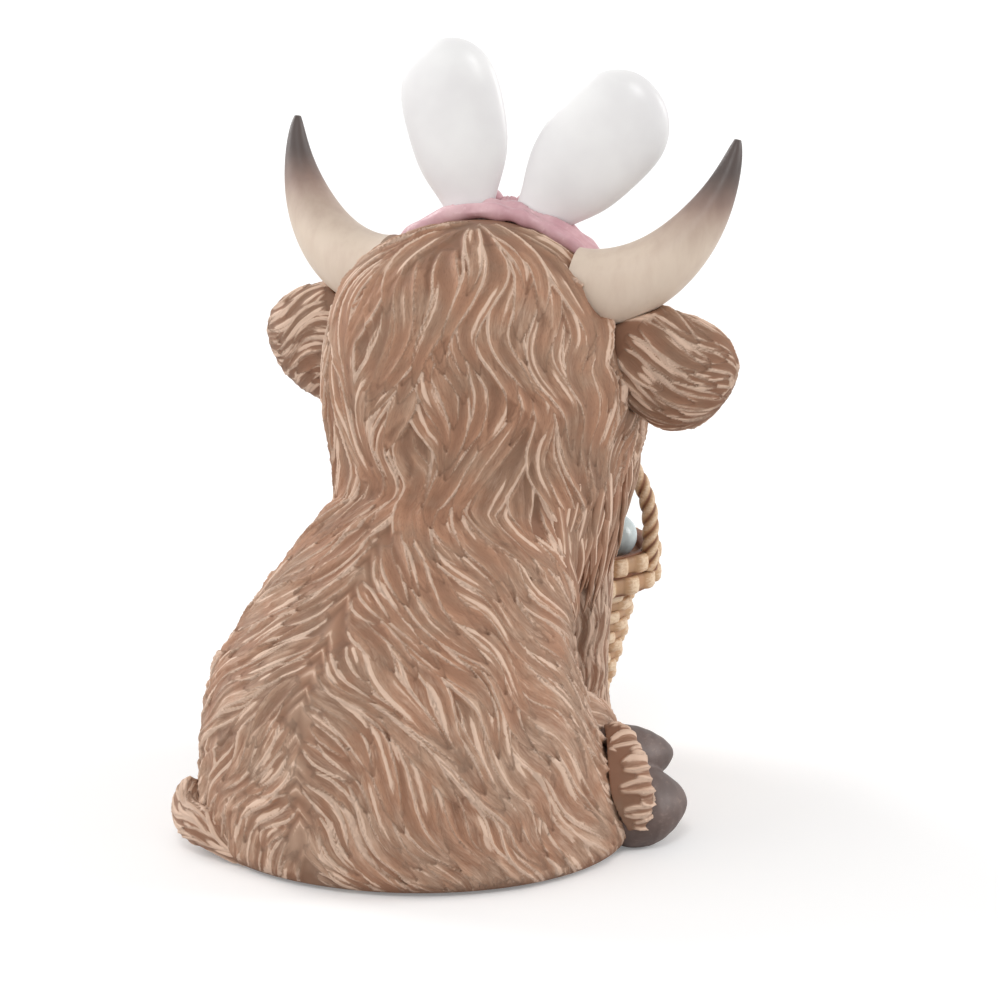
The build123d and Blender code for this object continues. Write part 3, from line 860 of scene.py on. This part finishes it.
class FIGURINE_OT_ears(bpy.types.Operator):
    """Shaggy cow ears, combed from root to tip"""
    bl_idname = "figurine.ears"
    bl_label = "Cow ears"

    def execute(self, context):
        settings = context.scene.figurine_coat
        for side, name in ((1, "left"), (-1, "right")):
            flow = straight_flow(settings, Vector((side * 0.86, -0.12, -0.42)).normalized(), 0.6)
            locks = {"spacing": 2.6, "length": 17, "width": 1.9, "relief": 0.6 * settings.relief / MM,
                     "order": lambda point: -side * point.x, "ribs": (1, 2), "root": 3.0}
            fur_piece("ear_coat_" + name, "ear_" + name, 0.36, 8, 3 + side, flow, locks, 0.35, 0.13)
        return {"FINISHED"}


def swollen_cuff(points, side, ahead):
    """The furry cuff, fuller over the hoof."""
    ahead = np.array(ahead)
    arm = points - np.array([side * CUFF.x, CUFF.y, CUFF.z])
    run = arm @ ahead
    radial = arm - np.outer(run, ahead)
    front = rounded((run + 9) / 7)
    points = points + radial * (0.10 * front)[:, None] + np.outer(1.5 * front, ahead)
    points[:, 2] = np.maximum(points[:, 2], 0.4)
    return points


def slim_tail(points):
    """The tail's root sinks into the rump, so that only its curled end stands out."""
    root = rounded((50 - np.degrees(np.arctan2(points[:, 0], points[:, 1] - RUMP_Y))) / 26)
    arm = points[:, :2] - np.array([0, RUMP_Y])
    reach = np.linalg.norm(arm, axis=1, keepdims=True)
    points[:, :2] -= arm / reach * (6.0 * root)[:, None]
    points[:, 2] = LOWEST + (points[:, 2] - LOWEST) * (1 - 0.35 * root)
    return points


def slim_leg(points):
    """The foreleg, drawn in above its hoof."""
    upper = rounded((points[:, 2] - 8) / 12)
    middle = points[points[:, 2] < 40].mean(axis=0)
    for axis in (0, 1):
        points[:, axis] = middle[axis] + (points[:, axis] - middle[axis]) * (1 - 0.13 * upper)
    points[:, 0] -= 0.7 * np.sign(middle[0]) * upper
    return points


class FIGURINE_OT_legs(bpy.types.Operator):
    """Forelegs, hind cuffs, tail and forelock"""
    bl_idname = "figurine.legs"
    bl_label = "Legs, tail and forelock"

    def execute(self, context):
        settings = context.scene.figurine_coat
        relief = settings.relief / MM

        for side, name in ((1, "left"), (-1, "right")):
            locks = {"spacing": 2.8, "length": 22, "width": 2.0, "relief": 0.75 * relief, "order": height_of,
                     "ribs": (1, 2)}
            fur_piece("foreleg_coat_" + name, "foreleg_" + name, 0.38, 8, 20 + side,
                      straight_flow(settings, -UP, 0.5), locks, 0.35, 0.22, slim_leg)
            ahead = Vector((side * math.sin(TOES_OUT), -math.cos(TOES_OUT), 0))
            locks = {"spacing": 2.3, "length": 12, "width": 1.5, "relief": 0.95 * relief,
                     "order": lambda point: -point.dot(ahead), "ribs": (0, 1), "root": 1.5}
            fur_piece("cuff_coat_" + name, "hind_leg_" + name, 0.26, 6, 40 + side,
                      straight_flow(settings, ahead, 0.15), locks, 0.1, 0.22,
                      lambda points: swollen_cuff(points, side, ahead))

        def tail_flow(place, normal):
            arm = place - Vector((0, RUMP_Y, place.z))
            round_way = Vector((arm.y, -arm.x, 0)).normalized()
            return turned(round_way + UP * 0.12, normal, 0.4 * wave(settings, place, place.x))

        locks = {"spacing": 1.9, "length": 14, "width": 1.3, "relief": 0.6 * relief,
                 "order": lambda point: -math.atan2(point.x, point.y - RUMP_Y), "ribs": (0, 1), "root": 1.5}
        fur_piece("tail_coat", "tail", 0.28, 6, 60, tail_flow, locks, 0.3, 0.15, slim_tail)
        locks = {"spacing": 2.6, "length": 18, "width": 2.2, "relief": 0.8 * relief, "order": height_of,
                 "ribs": (1, 2)}
        flow = straight_flow(settings, Vector((0, -0.3, -1)).normalized(), 0.6)
        fur_piece("forelock_coat", "forelock", 0.3, 4, 80, flow, locks, 0.2)
        return {"FINISHED"}


# Smooth painted parts

def horn_material():
    trim = bpy.context.scene.figurine_trim
    low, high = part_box("horn_left")

    def recipe():
        place = object_place()
        height = axis_of(place, 2)
        cloud = grain(place, 120.0)
        streak = grain(place, 260.0, 3.0, 0.6, (1.4, 1.4, 0.35))
        fine = grain(place, 900.0, 2.0, 0.6, (1.0, 1.0, 0.4))
        span = high[2] - low[2]
        share = (height - low[2]) / span + (cloud - 0.5) * 0.06 + (streak - 0.5) * 0.05
        pale = blend(streak.above(0.35, 0.8) * 0.5, trim.horn, paint(200, 178, 160))
        rosy = blend(share.above(0.38, 0.72), pale, paint(150, 124, 112))
        colour = blend(share.above(0.58, 0.86), rosy, trim.horn_tip)
        return {"Base Color": colour, "Roughness": 0.36 + fine * 0.16,
                "Normal": bump(streak * 0.6 + fine * 0.3, 0.12 * MM, 0.5)}

    return new_material("painted_horn", recipe, Specular_IOR_Level=0.5)


def hoof_material():
    trim = bpy.context.scene.figurine_trim

    def recipe():
        place = object_place()
        cloud = grain(place, 140.0)
        fine = grain(place, 700.0, 3.0, 0.6, (1, 1, 2.2))
        dark = blend(cloud.above(0.3, 0.7), paint(84, 68, 63), trim.hoof)
        colour = blend((fine * 1.0 + cloud * 0.4).above(0.72, 1.0) * 0.5, dark, paint(142, 122, 112))
        return {"Base Color": colour, "Roughness": 0.4 + fine * 0.15,
                "Normal": bump(fine + cloud * 0.5, 0.1 * MM, 0.4)}

    return new_material("painted_hoof", recipe, Specular_IOR_Level=0.45)


def white_material():
    trim = bpy.context.scene.figurine_trim

    def recipe():
        place = object_place()
        cloud = grain(place, 75.0, 3.0, 0.5)
        fine = grain(place, 650.0)
        colour = blend(cloud.above(0.3, 0.75), paint(227, 225, 225), trim.white)
        return {"Base Color": colour, "Roughness": 0.26 + fine * 0.14,
                "Normal": bump(fine + cloud, 0.06 * MM, 0.35)}

    return new_material("satin_white", recipe, Specular_IOR_Level=0.5)


def pink_material(name, colour, groove, gloss):
    def recipe():
        place = object_place()
        cloud = grain(place, 160.0)
        fine = grain(place, 900.0)
        mixed = blend(cloud.above(0.3, 0.72), groove, colour)
        mixed = blend((fine * 1.0 + cloud * 0.3).above(0.74, 0.95) * 0.5, mixed, paint(244, 216, 218))
        return {"Base Color": mixed, "Roughness": gloss + fine * 0.15,
                "Normal": bump(fine + cloud * 0.4, 0.08 * MM, 0.4)}

    return new_material(name, recipe, Specular_IOR_Level=0.45)


def hind_hoof(name):
    """Two long toes that lean on each other, cut flat at the ground."""
    side = 1 if name == "left" else -1
    ahead = Vector((side * math.sin(TOES_OUT), -math.cos(TOES_OUT), 0))
    spread = (Vector((-side * math.cos(TOES_OUT), -math.sin(TOES_OUT), 0)) + UP).normalized()
    cuff = Vector((side * CUFF.x, CUFF.y, CUFF.z))
    toes = []
    for sign, length, tall, wide, rise in HIND_TOES:
        deselect()
        bpy.ops.mesh.primitive_uv_sphere_add(segments=40, ring_count=24, radius=1, location=(0, 0, 0))
        toe = bpy.context.object
        third = ahead.cross(spread)
        points = vertex_arrays(toe)[0] * MM
        points = np.sign(points) * np.abs(points) ** 0.9
        taper = 1 - 0.12 * points[:, 0] - 0.30 * np.clip(points[:, 0], 0, 1) ** 1.6
        centre = cuff + ahead * 3.0 + spread * sign * 4.9 + UP * rise
        moved = np.array(centre) + np.outer(points[:, 0] * length, ahead)
        moved += np.outer(points[:, 1] * tall * taper, spread) + np.outer(points[:, 2] * wide * taper, third)
        move_vertices(toe, moved)
        toes.append(toe)
    piece = join(toes, "hind_hoof_shell_" + name)
    remesh(piece, 0.4 * MM, 5)
    points, normals = vertex_arrays(piece)
    run = (points - np.array(cuff)) @ np.array(ahead)
    grow = 0.03 * np.sin(run * 2.4 + 0.5 * np.sin(points[:, 2] * 0.5)) * rounded(run / 4)
    points = points + normals * grow[:, None]
    points[:, 2] = np.maximum(points[:, 2], LOWEST)
    move_vertices(piece, points)
    smooth_shade(piece, 60)
    settle(piece, hoof_material(), "hoof", "hind_hoof_" + name)


def front_hoof(name):
    """Two blunt toes with flat soles, from the casting's rounded ones."""
    piece = copy_of_nodes("front_hoof_shell_" + name, "front_hoof_" + name)
    remesh(piece, 0.34 * MM, 3)
    points, _ = vertex_arrays(piece)
    low, high = box_of("front_hoof_" + name)
    middle, half = (low + high) / 2, (high - low) / 2
    centre = np.tile(middle, (len(points), 1))
    centre[:, 0] += np.sign(points[:, 0] - middle[0]) * half[0] / 2
    reach = half * np.array([0.5, 1, 1])
    share = (points - centre) / reach
    shaped = np.sign(share) * np.abs(share) ** 0.88
    shaped[:, 0] = share[:, 0]
    shaped[:, :2] *= 1 - 0.09 * (share[:, 2:3] + 0.4)
    points = centre + shaped * reach * 0.97
    points[:, 2] = np.maximum(points[:, 2], LOWEST)
    move_vertices(piece, points)
    apply_modifier(piece, "SMOOTH", factor=0.5, iterations=4)
    smooth_shade(piece, 60)
    settle(piece, hoof_material(), "hoof", "front_hoof_" + name)


class FIGURINE_OT_horns(bpy.types.Operator):
    """Horns, hooves and rabbit ears: satin paint over the castings"""
    bl_idname = "figurine.horns"
    bl_label = "Horns, hooves and rabbit ears"

    def execute(self, context):
        blush = context.scene.figurine_trim.blush
        for name in ("left", "right"):
            finish_node("horn_" + name, horn_material())
            front_hoof(name)
            hind_hoof(name)
            finish_node("bunny_ear_" + name, white_material())
            finish_node("bunny_panel_" + name, pink_material("ear_lining", blush, paint(220, 168, 172), 0.4))
        return {"FINISHED"}


class FIGURINE_OT_headband(bpy.types.Operator):
    """Pink ribbon band with gathered folds, and its bow"""
    bl_idname = "figurine.headband"
    bl_label = "Headband and bow"

    def execute(self, context):
        trim = context.scene.figurine_trim
        material = pink_material("pink_ribbon", trim.pink, paint(200, 154, 161), 0.28)
        knot = np.array(centre_of("bow_knot")) / MM
        band_y, crown = centre_of("headband").y / MM, box_of("headband")[1][2] - 29.5

        def band_lift(points):
            turn = np.arctan2(points[:, 0], points[:, 2] - crown)
            wide = points[:, 1] - band_y
            crease = np.sin(turn * 21 + 0.5 * wide + 1.4 * np.sin(turn * 7 + wide * 0.5))
            plies = np.cos(wide * 2.0 + 0.9 * np.sin(turn * 6 + 0.7) + 0.4 * np.sin(turn * 15))
            return trim.band_fold / MM * (0.45 * crease + 0.7 * plies + 0.2)

        def loop_lift(points):
            arm = points - knot
            reach = np.abs(arm[:, 0])
            fan = np.arctan2(arm[:, 2], reach + 2.5)
            pleat = np.cos(fan * 13) * np.clip(1 - reach / 13, 0, 1) ** 0.7 * np.clip((reach - 1) / 2, 0, 1)
            hem = np.exp(-((np.abs(arm[:, 2]) / 5.6 - 0.86) / 0.1) ** 2) * np.clip(reach / 6, 0, 1)
            return 0.5 * pleat + 0.28 * hem

        def knot_lift(points):
            arm = points - knot
            return 0.25 * np.cos(np.arctan2(arm[:, 0], -arm[:, 1]) * 7 + arm[:, 2] * 0.25)

        for name, node, size, smoothing, lift in (("ribbon_band", "headband", 0.34, 4, band_lift),
                                                  ("bow_left", "bow_loop_left", 0.26, 4, loop_lift),
                                                  ("bow_right", "bow_loop_right", 0.26, 4, loop_lift),
                                                  ("bow_middle", "bow_knot", 0.24, 3, knot_lift)):
            shaped_piece(name, node, size, smoothing, lift, material, "ribbon_pink")
        return {"FINISHED"}


def eye_material():
    centres = [centre_of("eye_" + name) for name in ("left", "right")]

    def recipe():
        place = object_place()
        fine = grain(place, 700.0, 2.0, 0.5)
        front, glint = [], []
        for centre in centres:
            outward = Vector((centre.x, centre.y + 17 * MM, 0)).normalized()
            front.append(distance_to(place, centre + outward * 3.2 * MM))
            glint.append(distance_to(place, centre + outward * 3.3 * MM + Vector((0, 0, 1.5 * MM))))
        near = front[0].with_other("MINIMUM", front[1])
        spark = glint[0].with_other("MINIMUM", glint[1])
        iris = blend(near.above(1.5 * MM, 2.0 * MM), paint(12, 9, 8), paint(62, 36, 22))
        ring = blend(near.above(2.9 * MM, 3.3 * MM), iris, paint(18, 12, 10))
        colour = blend(1 - spark.above(0.55 * MM, 0.8 * MM), ring, paint(240, 238, 234))
        return {"Base Color": colour, "Roughness": 0.06 + fine * 0.05}

    return new_material("glossy_eye", recipe, Coat_Weight=0.6, Coat_Roughness=0.04)


def nose_material():
    trim = bpy.context.scene.figurine_trim
    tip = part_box("muzzle")[0][1]

    def recipe():
        place = object_place()
        cloud = grain(place, 130.0)
        pore = dots(place, 900.0, "DISTANCE_TO_EDGE")
        fine = grain(place, 1000.0, 2.0)
        back = axis_of(place, 1).above(tip + 3 * MM, tip + 12 * MM)
        base = blend(cloud.above(0.3, 0.7), paint(184, 146, 130), trim.nose)
        base = blend(back * 0.55, base, paint(196, 160, 140))
        colour = blend((pore * 4.0).above(0.0, 0.5) * 0.3 + 0.7, paint(152, 116, 102), base)
        return {"Base Color": colour, "Roughness": 0.42 + fine * 0.14,
                "Normal": bump(pore * 1.2 + fine * 0.3, 0.08 * MM, 0.25)}

    return new_material("painted_nose", recipe, Specular_IOR_Level=0.45)


class FIGURINE_OT_face(bpy.types.Operator):
    """Muzzle with soft nostrils and lips, the chin and the glossy eyes"""
    bl_idname = "figurine.face"
    bl_label = "Face"

    def execute(self, context):
        settings = context.scene.figurine_coat
        low, high = box_of("muzzle")
        middle = (low + high) / 2

        def nose_lift(points):
            across, height = np.abs(points[:, 0]), points[:, 2]
            front = np.clip((middle[1] - points[:, 1]) / (middle[1] - low[1]), 0, 1)
            groove = np.exp(-(across / 0.9) ** 2) * front * np.clip((middle[2] + 4 - height) / 5, 0, 1)
            nostril = np.exp(-(((across - 6.5) / 3.6) ** 2 + ((height - middle[2] - 3.0) / 3.2) ** 2))
            crease = np.sin(height * 2.2 + 0.3 * across) * (1 - front) * 0.12
            return 0.6 * nostril * front - 0.8 * groove + crease

        shaped_piece("nose", "muzzle", 0.3, 8, nose_lift, nose_material(), "muzzle")
        locks = {"spacing": 2.6, "length": 10, "width": 1.7, "relief": 0.5 * settings.relief / MM,
                 "order": height_of, "ribs": (0, 1)}
        flow = straight_flow(settings, Vector((0, 0.5, -1)).normalized(), 0.3)
        fur_piece("chin_coat", "chin", 0.3, 6, 90, flow, locks, 0.15, slot="muzzle")
        for name in ("left", "right"):
            finish_node("eye_" + name, eye_material())
        return {"FINISHED"}


# Basket

def cane_material():
    basket = bpy.context.scene.figurine_basket

    def recipe():
        place = object_place()
        height = attribute("cane_rise")
        cloud = grain(place, 150.0)
        fibre = grain(place, 900.0, 3.0, 0.65, (1, 1, 2.4))
        # Painted shade: the shade colour where the cane lies low in the weave, and behind it
        base = blend(height.above(0.12, 0.75), basket.shade, basket.cane)
        base = blend(cloud.above(0.35, 0.75) * 0.45, base, paint(190, 138, 98))
        colour = blend((fibre * 0.7 + height * 0.6).above(0.72, 1.05) * 0.75, base, paint(244, 222, 194))
        return {"Base Color": colour, "Roughness": 0.5 + fibre * 0.15,
                "Normal": bump(fibre, 0.15 * MM, 0.5)}

    return new_material("painted_cane", recipe, Specular_IOR_Level=0.4)


BASKET_CENTRE = np.array(centre_of("egg_1"))[:2] / MM
BOWL_RADII = (9.5, 14.4, 17.6)
RIM_MIDDLE = 20.7  # radius of the rim's cane
RIM_CORE = 20.6  # most that shows of the core behind it
ROPE_RADIUS = 1.8
ROPE_TURN = 9.5  # length in which the strands go once round


def bowl_radius(height, low, high):
    """Outer radius of the bowl, through its radii at foot, waist and top."""
    share = (height - low) / (high - low)
    rest = 1 - share
    foot, waist, top = BOWL_RADII
    return foot * rest * (rest - share) + 4 * waist * share * rest + top * share * (share - rest)


def set_rise(piece, values):
    """How far each place stands out of the weave, for the paint, which gives low places painted shade."""
    layer = piece.data.attributes.new("cane_rise", "FLOAT", "POINT")
    layer.data.foreach_set("value", np.clip(values, 0, 1).astype(np.float32))


def ring_of_cane(middle, height, thickness, flat, swing, stakes, phase, segments):
    """One weaver: a flattened ring that swings in and out round the stakes."""
    deselect()
    bpy.ops.mesh.primitive_torus_add(location=(0, 0, 0), major_segments=segments, minor_segments=10,
                                     major_radius=0.01, minor_radius=0.001)
    piece = bpy.context.object
    points, _ = vertex_arrays(piece)
    angle = np.arctan2(points[:, 1], points[:, 0])
    out = (np.hypot(points[:, 0], points[:, 1]) - 10.0) * thickness
    rise = points[:, 2] * flat
    weave = np.tanh(2.4 * np.cos(angle * stakes / 2 + phase)) / math.tanh(2.4)
    out = np.sign(out) * thickness * np.abs(out / thickness) ** 0.6
    rise = np.sign(rise) * flat * np.abs(rise / flat) ** 0.75
    radius = middle + swing * weave + out
    moved = np.stack([np.cos(angle) * radius, np.sin(angle) * radius, height + rise], axis=1)
    moved[:, :2] += BASKET_CENTRE
    move_vertices(piece, moved)
    # Low where the weaver swings in behind a stake and on its inner half, which the paint turns to painted
    # shade
    set_rise(piece, 0.15 + 0.5 * (weave + 1) / 2 + 0.35 * np.clip(out / thickness, 0, 1))
    return piece


def upright_stake(angle, middle_of, bottom, top):
    """One stake that the weavers pass, bent to the bowl's side."""
    deselect()
    bpy.ops.mesh.primitive_cylinder_add(vertices=8, radius=0.001, depth=0.02, location=(0, 0, 0),
                                        end_fill_type="NGON")
    stake = bpy.context.object
    make_active(stake)
    bpy.ops.object.mode_set(mode="EDIT")
    bm = bmesh.from_edit_mesh(stake.data)
    uprights = [edge for edge in bm.edges if abs(edge.verts[0].co.z - edge.verts[1].co.z) > 0.01]
    bmesh.ops.subdivide_edges(bm, edges=uprights, cuts=10, use_grid_fill=True)
    bmesh.update_edit_mesh(stake.data)
    bpy.ops.object.mode_set(mode="OBJECT")
    points, _ = vertex_arrays(stake)
    height = bottom + (points[:, 2] + 10) / 20 * (top - bottom)
    radius = middle_of(height) + points[:, 0] * 0.85
    side = points[:, 1] * 1.1
    moved = np.stack([math.cos(angle) * radius - math.sin(angle) * side,
                      math.sin(angle) * radius + math.cos(angle) * side, height], axis=1)
    moved[:, :2] += BASKET_CENTRE
    move_vertices(stake, moved)
    set_rise(stake, np.full(len(points), 0.45))
    return stake


def drawn_in(name, node, share_of, rise):
    """A copy of a basket node, drawn in towards the basket's axis and painted in the shade colour: painted
    shade behind the weave.
    """
    piece = copy_of_nodes(name, node)
    points, _ = vertex_arrays(piece)
    arm = points[:, :2] - BASKET_CENTRE
    reach = np.maximum(np.hypot(arm[:, 0], arm[:, 1]), 1e-6)
    points[:, :2] = BASKET_CENTRE + arm * share_of(points[:, 2], reach)[:, None]
    move_vertices(piece, points)
    set_rise(piece, np.full(len(points), rise))
    return piece


def woven(name, pieces, node):
    """One piece from its canes, in place of a basket node."""
    piece = join(pieces, name)
    smooth_shade(piece, 60)
    settle(piece, cane_material(), "wicker", node)


class FIGURINE_OT_basket(bpy.types.Operator):
    """Woven basket bowl, its thick rim and the twisted handle"""
    bl_idname = "figurine.basket"
    bl_label = "Basket"

    def execute(self, context):
        basket = context.scene.figurine_basket
        self.bowl(basket)
        self.rim(basket.stakes)
        self.rope()
        return {"FINISHED"}

    def bowl(self, basket):
        """Weavers that pass round upright stakes, with a backing behind them painted dark as painted shade."""
        low = box_of("basket_bowl")[0][2]
        rim_low, rim_high = (corner[2] for corner in box_of("basket_rim"))
        rim_middle = (rim_low + rim_high) / 2
        thick, stakes = basket.weaver / MM, basket.stakes
        top = rim_low + 1.0
        rows = int((top - low) / (thick * 1.75))
        pieces = []
        for row in range(rows):
            height = low + thick + (top - low - thick) * row / (rows - 1)
            middle = bowl_radius(height, low, rim_middle) - 0.8 * thick
            pieces.append(ring_of_cane(middle, height, 0.9 * thick, 0.98 * thick, basket.swing / MM, stakes,
                                       math.pi * (row % 2), 8 * stakes))
        for number in range(stakes):
            pieces.append(upright_stake(2 * math.pi * (number + 0.5) / stakes,
                                        lambda height: bowl_radius(height, low, rim_middle) - 0.9 * thick,
                                        low + 0.4, top))

        def shaded_backing_share(height, reach):
            return np.where((height < rim_low + 2) & (reach > 4), (reach - 1.5 * thick) / reach, 1.0)

        # The piece named lining is a backing in the shade colour: painted shade behind the weave
        pieces.append(drawn_in("lining", "basket_bowl", shaded_backing_share, 0.05))
        woven("woven_bowl", pieces, "basket_bowl")

    def rim(self, stakes):
        """Two stout rows of flat cane."""
        low, high = (corner[2] for corner in box_of("basket_rim"))
        pieces = []
        for row in range(2):
            height = low + (high - low) * (row + 0.5) / 2
            pieces.append(ring_of_cane(RIM_MIDDLE, height, 1.05, 1.85, 0.6, 2 * stakes, math.pi * row,
                                       24 * stakes))
        # The rim's core, drawn in and painted close to the shade colour: painted shade behind the rim's canes
        pieces.append(drawn_in("rim_core", "basket_rim",
                               lambda height, reach: np.minimum(RIM_CORE / reach, 1.0), 0.15))
        woven("woven_rim", pieces, "basket_rim")

    def rope(self):
        """Handle: three strands twisted round an arch."""
        low, high = box_of("basket_handle")
        side = high[0] - ROPE_RADIUS
        spring = high[2] - ROPE_RADIUS - side
        legs = spring - low[2]
        total = 2 * legs + math.pi * side
        steps, section = 460, 20
        points, values = [], []
        out = Vector((0, 1, 0))
        for step in range(steps + 1):
            run = total * step / steps
            if run < legs:
                centre, ahead = Vector((-side, 0, low[2] + run)), UP
            elif run < legs + math.pi * side:
                angle = (run - legs) / side
                centre = Vector((-side * math.cos(angle), 0, spring + side * math.sin(angle)))
                ahead = Vector((math.sin(angle), 0, math.cos(angle)))
            else:
                centre, ahead = Vector((side, 0, spring - run + legs + math.pi * side)), -UP
            centre.y = BASKET_CENTRE[1]
            across = ahead.cross(out)
            for corner in range(section):
                around = 2 * math.pi * corner / section
                lobe = abs(math.cos(1.5 * (around - 2 * math.pi * run / ROPE_TURN)))
                arm = (out * math.cos(around) + across * math.sin(around)) * ROPE_RADIUS
                points.append(centre + arm * (0.74 + 0.26 * lobe ** 0.7))
                values.append(lobe)
        piece = tube_piece("rope_handle", points, tube_faces(0, steps + 1, section))
        # Low between the twisted strands, which the paint turns to painted shade
        set_rise(piece, np.array(values))
        smooth_shade(piece, 70)
        settle(piece, cane_material(), "wicker", "basket_handle")


def egg_material(name, colour, second):
    def recipe():
        place = object_place()
        cloud = grain(place, 220.0)
        speck = dots(place, 700.0, "F1")
        mixed = blend(cloud.above(0.35, 0.7), colour, second)
        mixed = blend(1 - speck.above(0.10, 0.2), mixed, paint(236, 236, 230))
        return {"Base Color": mixed, "Roughness": 0.14 + cloud * 0.1}

    return new_material(name, recipe, Specular_IOR_Level=0.55, Coat_Weight=0.35)


def felt_material():
    def recipe():
        place = object_place()
        fibre = grain(place, 1600.0, 4.0, 0.75)
        cloud = grain(place, 130.0, 2.0, 0.5)
        colour = blend((fibre * 0.8 + cloud * 0.3).above(0.35, 0.75), paint(58, 46, 40), paint(104, 86, 74))
        return {"Base Color": colour, "Roughness": 0.95, "Normal": bump(fibre, 0.3 * MM, 0.7)}

    return new_material("brown_felt", recipe, Specular_IOR_Level=0.15)


class FIGURINE_OT_eggs(bpy.types.Operator):
    """Eight glossy painted eggs, and the felt under the base"""
    bl_idname = "figurine.eggs"
    bl_label = "Eggs and felt"

    def execute(self, context):
        finishes = {
            "egg_blue": (paint(146, 188, 192), paint(176, 210, 208)),
            "egg_lilac": (paint(196, 178, 208), paint(212, 196, 220)),
            "egg_mint": (paint(178, 208, 178), paint(196, 220, 194)),
            "egg_rose": (paint(222, 178, 184), paint(232, 196, 200)),
        }
        owners = {1: "egg_blue", 2: "egg_blue", 3: "egg_lilac", 4: "egg_mint", 5: "egg_rose", 6: "egg_blue",
                  7: "egg_lilac", 8: "egg_mint"}
        for number, finish in owners.items():
            finish_node("egg_%d" % number, egg_material(finish, *finishes[finish]))
        finish_node("base_felt", felt_material())
        return {"FINISHED"}


# Stage

CAMERA_TURN = math.radians(25.0)
CAMERA_RISE = math.radians(12.7)
CAMERA_AIM = Vector((-10.51, -4.90, 64.8)) * MM
LAMPS = (  # name, where it stands, spread in degrees, strength
    ("key_lamp", (-0.35, 1.0, 1.15), 18, 0.78),
    ("fill_lamp", (0.9, 0.75, 0.45), 50, 0.62),
    ("rim_lamp_right", (-1.0, -0.55, 0.5), 30, 1.2),
    ("rim_lamp_left", (1.0, -0.25, 0.5), 30, 1.2),
)


def white_floor():
    """The floor, which the camera sees a little brighter than the lamps make it."""
    deselect()
    bpy.ops.mesh.primitive_plane_add(size=6.0, location=(0, 0, 0))
    floor = name_piece(bpy.context.object, "stage_floor")
    material = new_material("stage_white", dict, Base_Color=(0.86, 0.86, 0.86, 1), Roughness=0.8,
                            Specular_IOR_Level=0.1)
    Field.tree = tree = material.node_tree
    seen = Field.node("ShaderNodeLightPath", output="Is Camera Ray")
    glow = Field.node("ShaderNodeEmission", {}, {"Color": (1, 1, 1, 1), "Strength": seen * 0.19})
    both = Field.node("ShaderNodeAddShader", {}, {0: Field(tree.nodes["Principled BSDF"].outputs[0]), 1: glow})
    Field.feed(tree.nodes["Material Output"].inputs[0], both)
    floor.data.materials.append(material)


def white_world():
    """Soft light from all round, brighter where the camera or a gloss sees it."""
    world = bpy.data.worlds.new("stage_light")
    world.use_nodes = True
    bpy.context.scene.world = world
    Field.tree = world.node_tree
    rays = Field.node("ShaderNodeLightPath", output="Is Camera Ray")
    outside = rays.with_other("MAXIMUM", Field(rays.socket.node.outputs["Is Glossy Ray"]))
    background = world.node_tree.nodes["Background"]
    background.inputs["Color"].default_value = (1, 1, 1, 1)
    Field.feed(background.inputs["Strength"], 0.56 + outside * 0.44)


def stand(name, thing, place, back):
    """A lamp or camera at a place, with its back this way."""
    holder = bpy.data.objects.new(name, thing)
    bpy.context.scene.collection.objects.link(holder)
    holder.location = place
    holder.rotation_euler = (-back).to_track_quat("-Z", "Y").to_euler()
    return holder


class FIGURINE_OT_stage(bpy.types.Operator):
    """White floor and backdrop, soft lamps and the camera"""
    bl_idname = "figurine.stage"
    bl_label = "Stage"

    def execute(self, context):
        scene = context.scene
        white_floor()
        white_world()
        for name, place, spread, strength in LAMPS:
            lamp = bpy.data.lights.new(name, "SUN")
            lamp.angle = math.radians(spread)
            lamp.energy = strength
            stand(name, lamp, place, Vector(place))
        camera = bpy.data.cameras.new("camera")
        camera.lens = scene.figurine_stage.lens
        camera.sensor_width = 36
        camera.clip_start = 0.01
        level = math.cos(CAMERA_RISE)
        back = Vector((-math.sin(CAMERA_TURN) * level, math.cos(CAMERA_TURN) * level, math.sin(CAMERA_RISE)))
        scene.camera = stand("camera", camera, CAMERA_AIM + back * scene.figurine_stage.distance, back)
        scene.view_settings.view_transform = "Standard"
        return {"FINISHED"}


class FIGURINE_PT_panel(bpy.types.Panel):
    """Lists the figurine's steps and sizes"""
    bl_idname = "FIGURINE_PT_panel"
    bl_label = "Cow figurine"
    bl_space_type = "VIEW_3D"
    bl_region_type = "UI"
    bl_category = "Figurine"

    def draw(self, context):
        for operator in OPERATORS:
            self.layout.operator(operator.bl_idname)
        for name, group in SETTINGS.items():
            box = self.layout.box()
            for key in group.__annotations__:
                box.prop(getattr(context.scene, name), key)


SETTINGS = {
    "figurine_coat": CoatSettings,
    "figurine_trim": TrimSettings,
    "figurine_basket": BasketSettings,
    "figurine_stage": StageSettings,
}
OPERATORS = (FIGURINE_OT_stage, FIGURINE_OT_coat, FIGURINE_OT_mane_tips, FIGURINE_OT_ears, FIGURINE_OT_legs,
             FIGURINE_OT_horns, FIGURINE_OT_headband, FIGURINE_OT_face, FIGURINE_OT_basket, FIGURINE_OT_eggs)


def register():
    for name, group in SETTINGS.items():
        bpy.utils.register_class(group)
        setattr(bpy.types.Scene, name, PointerProperty(type=group))
    for operator in OPERATORS:
        bpy.utils.register_class(operator)
    bpy.utils.register_class(FIGURINE_PT_panel)


def unregister():
    bpy.utils.unregister_class(FIGURINE_PT_panel)
    for operator in reversed(OPERATORS):
        bpy.utils.unregister_class(operator)
    for name, group in SETTINGS.items():
        delattr(bpy.types.Scene, name)
        bpy.utils.unregister_class(group)


def main():
    register()
    bpy.ops.figurine.stage()
    bpy.ops.figurine.coat()
    bpy.ops.figurine.mane_tips()
    bpy.ops.figurine.ears()
    bpy.ops.figurine.legs()
    bpy.ops.figurine.horns()
    bpy.ops.figurine.headband()
    bpy.ops.figurine.face()
    bpy.ops.figurine.basket()
    bpy.ops.figurine.eggs()


if __name__ == "__main__":
    main()
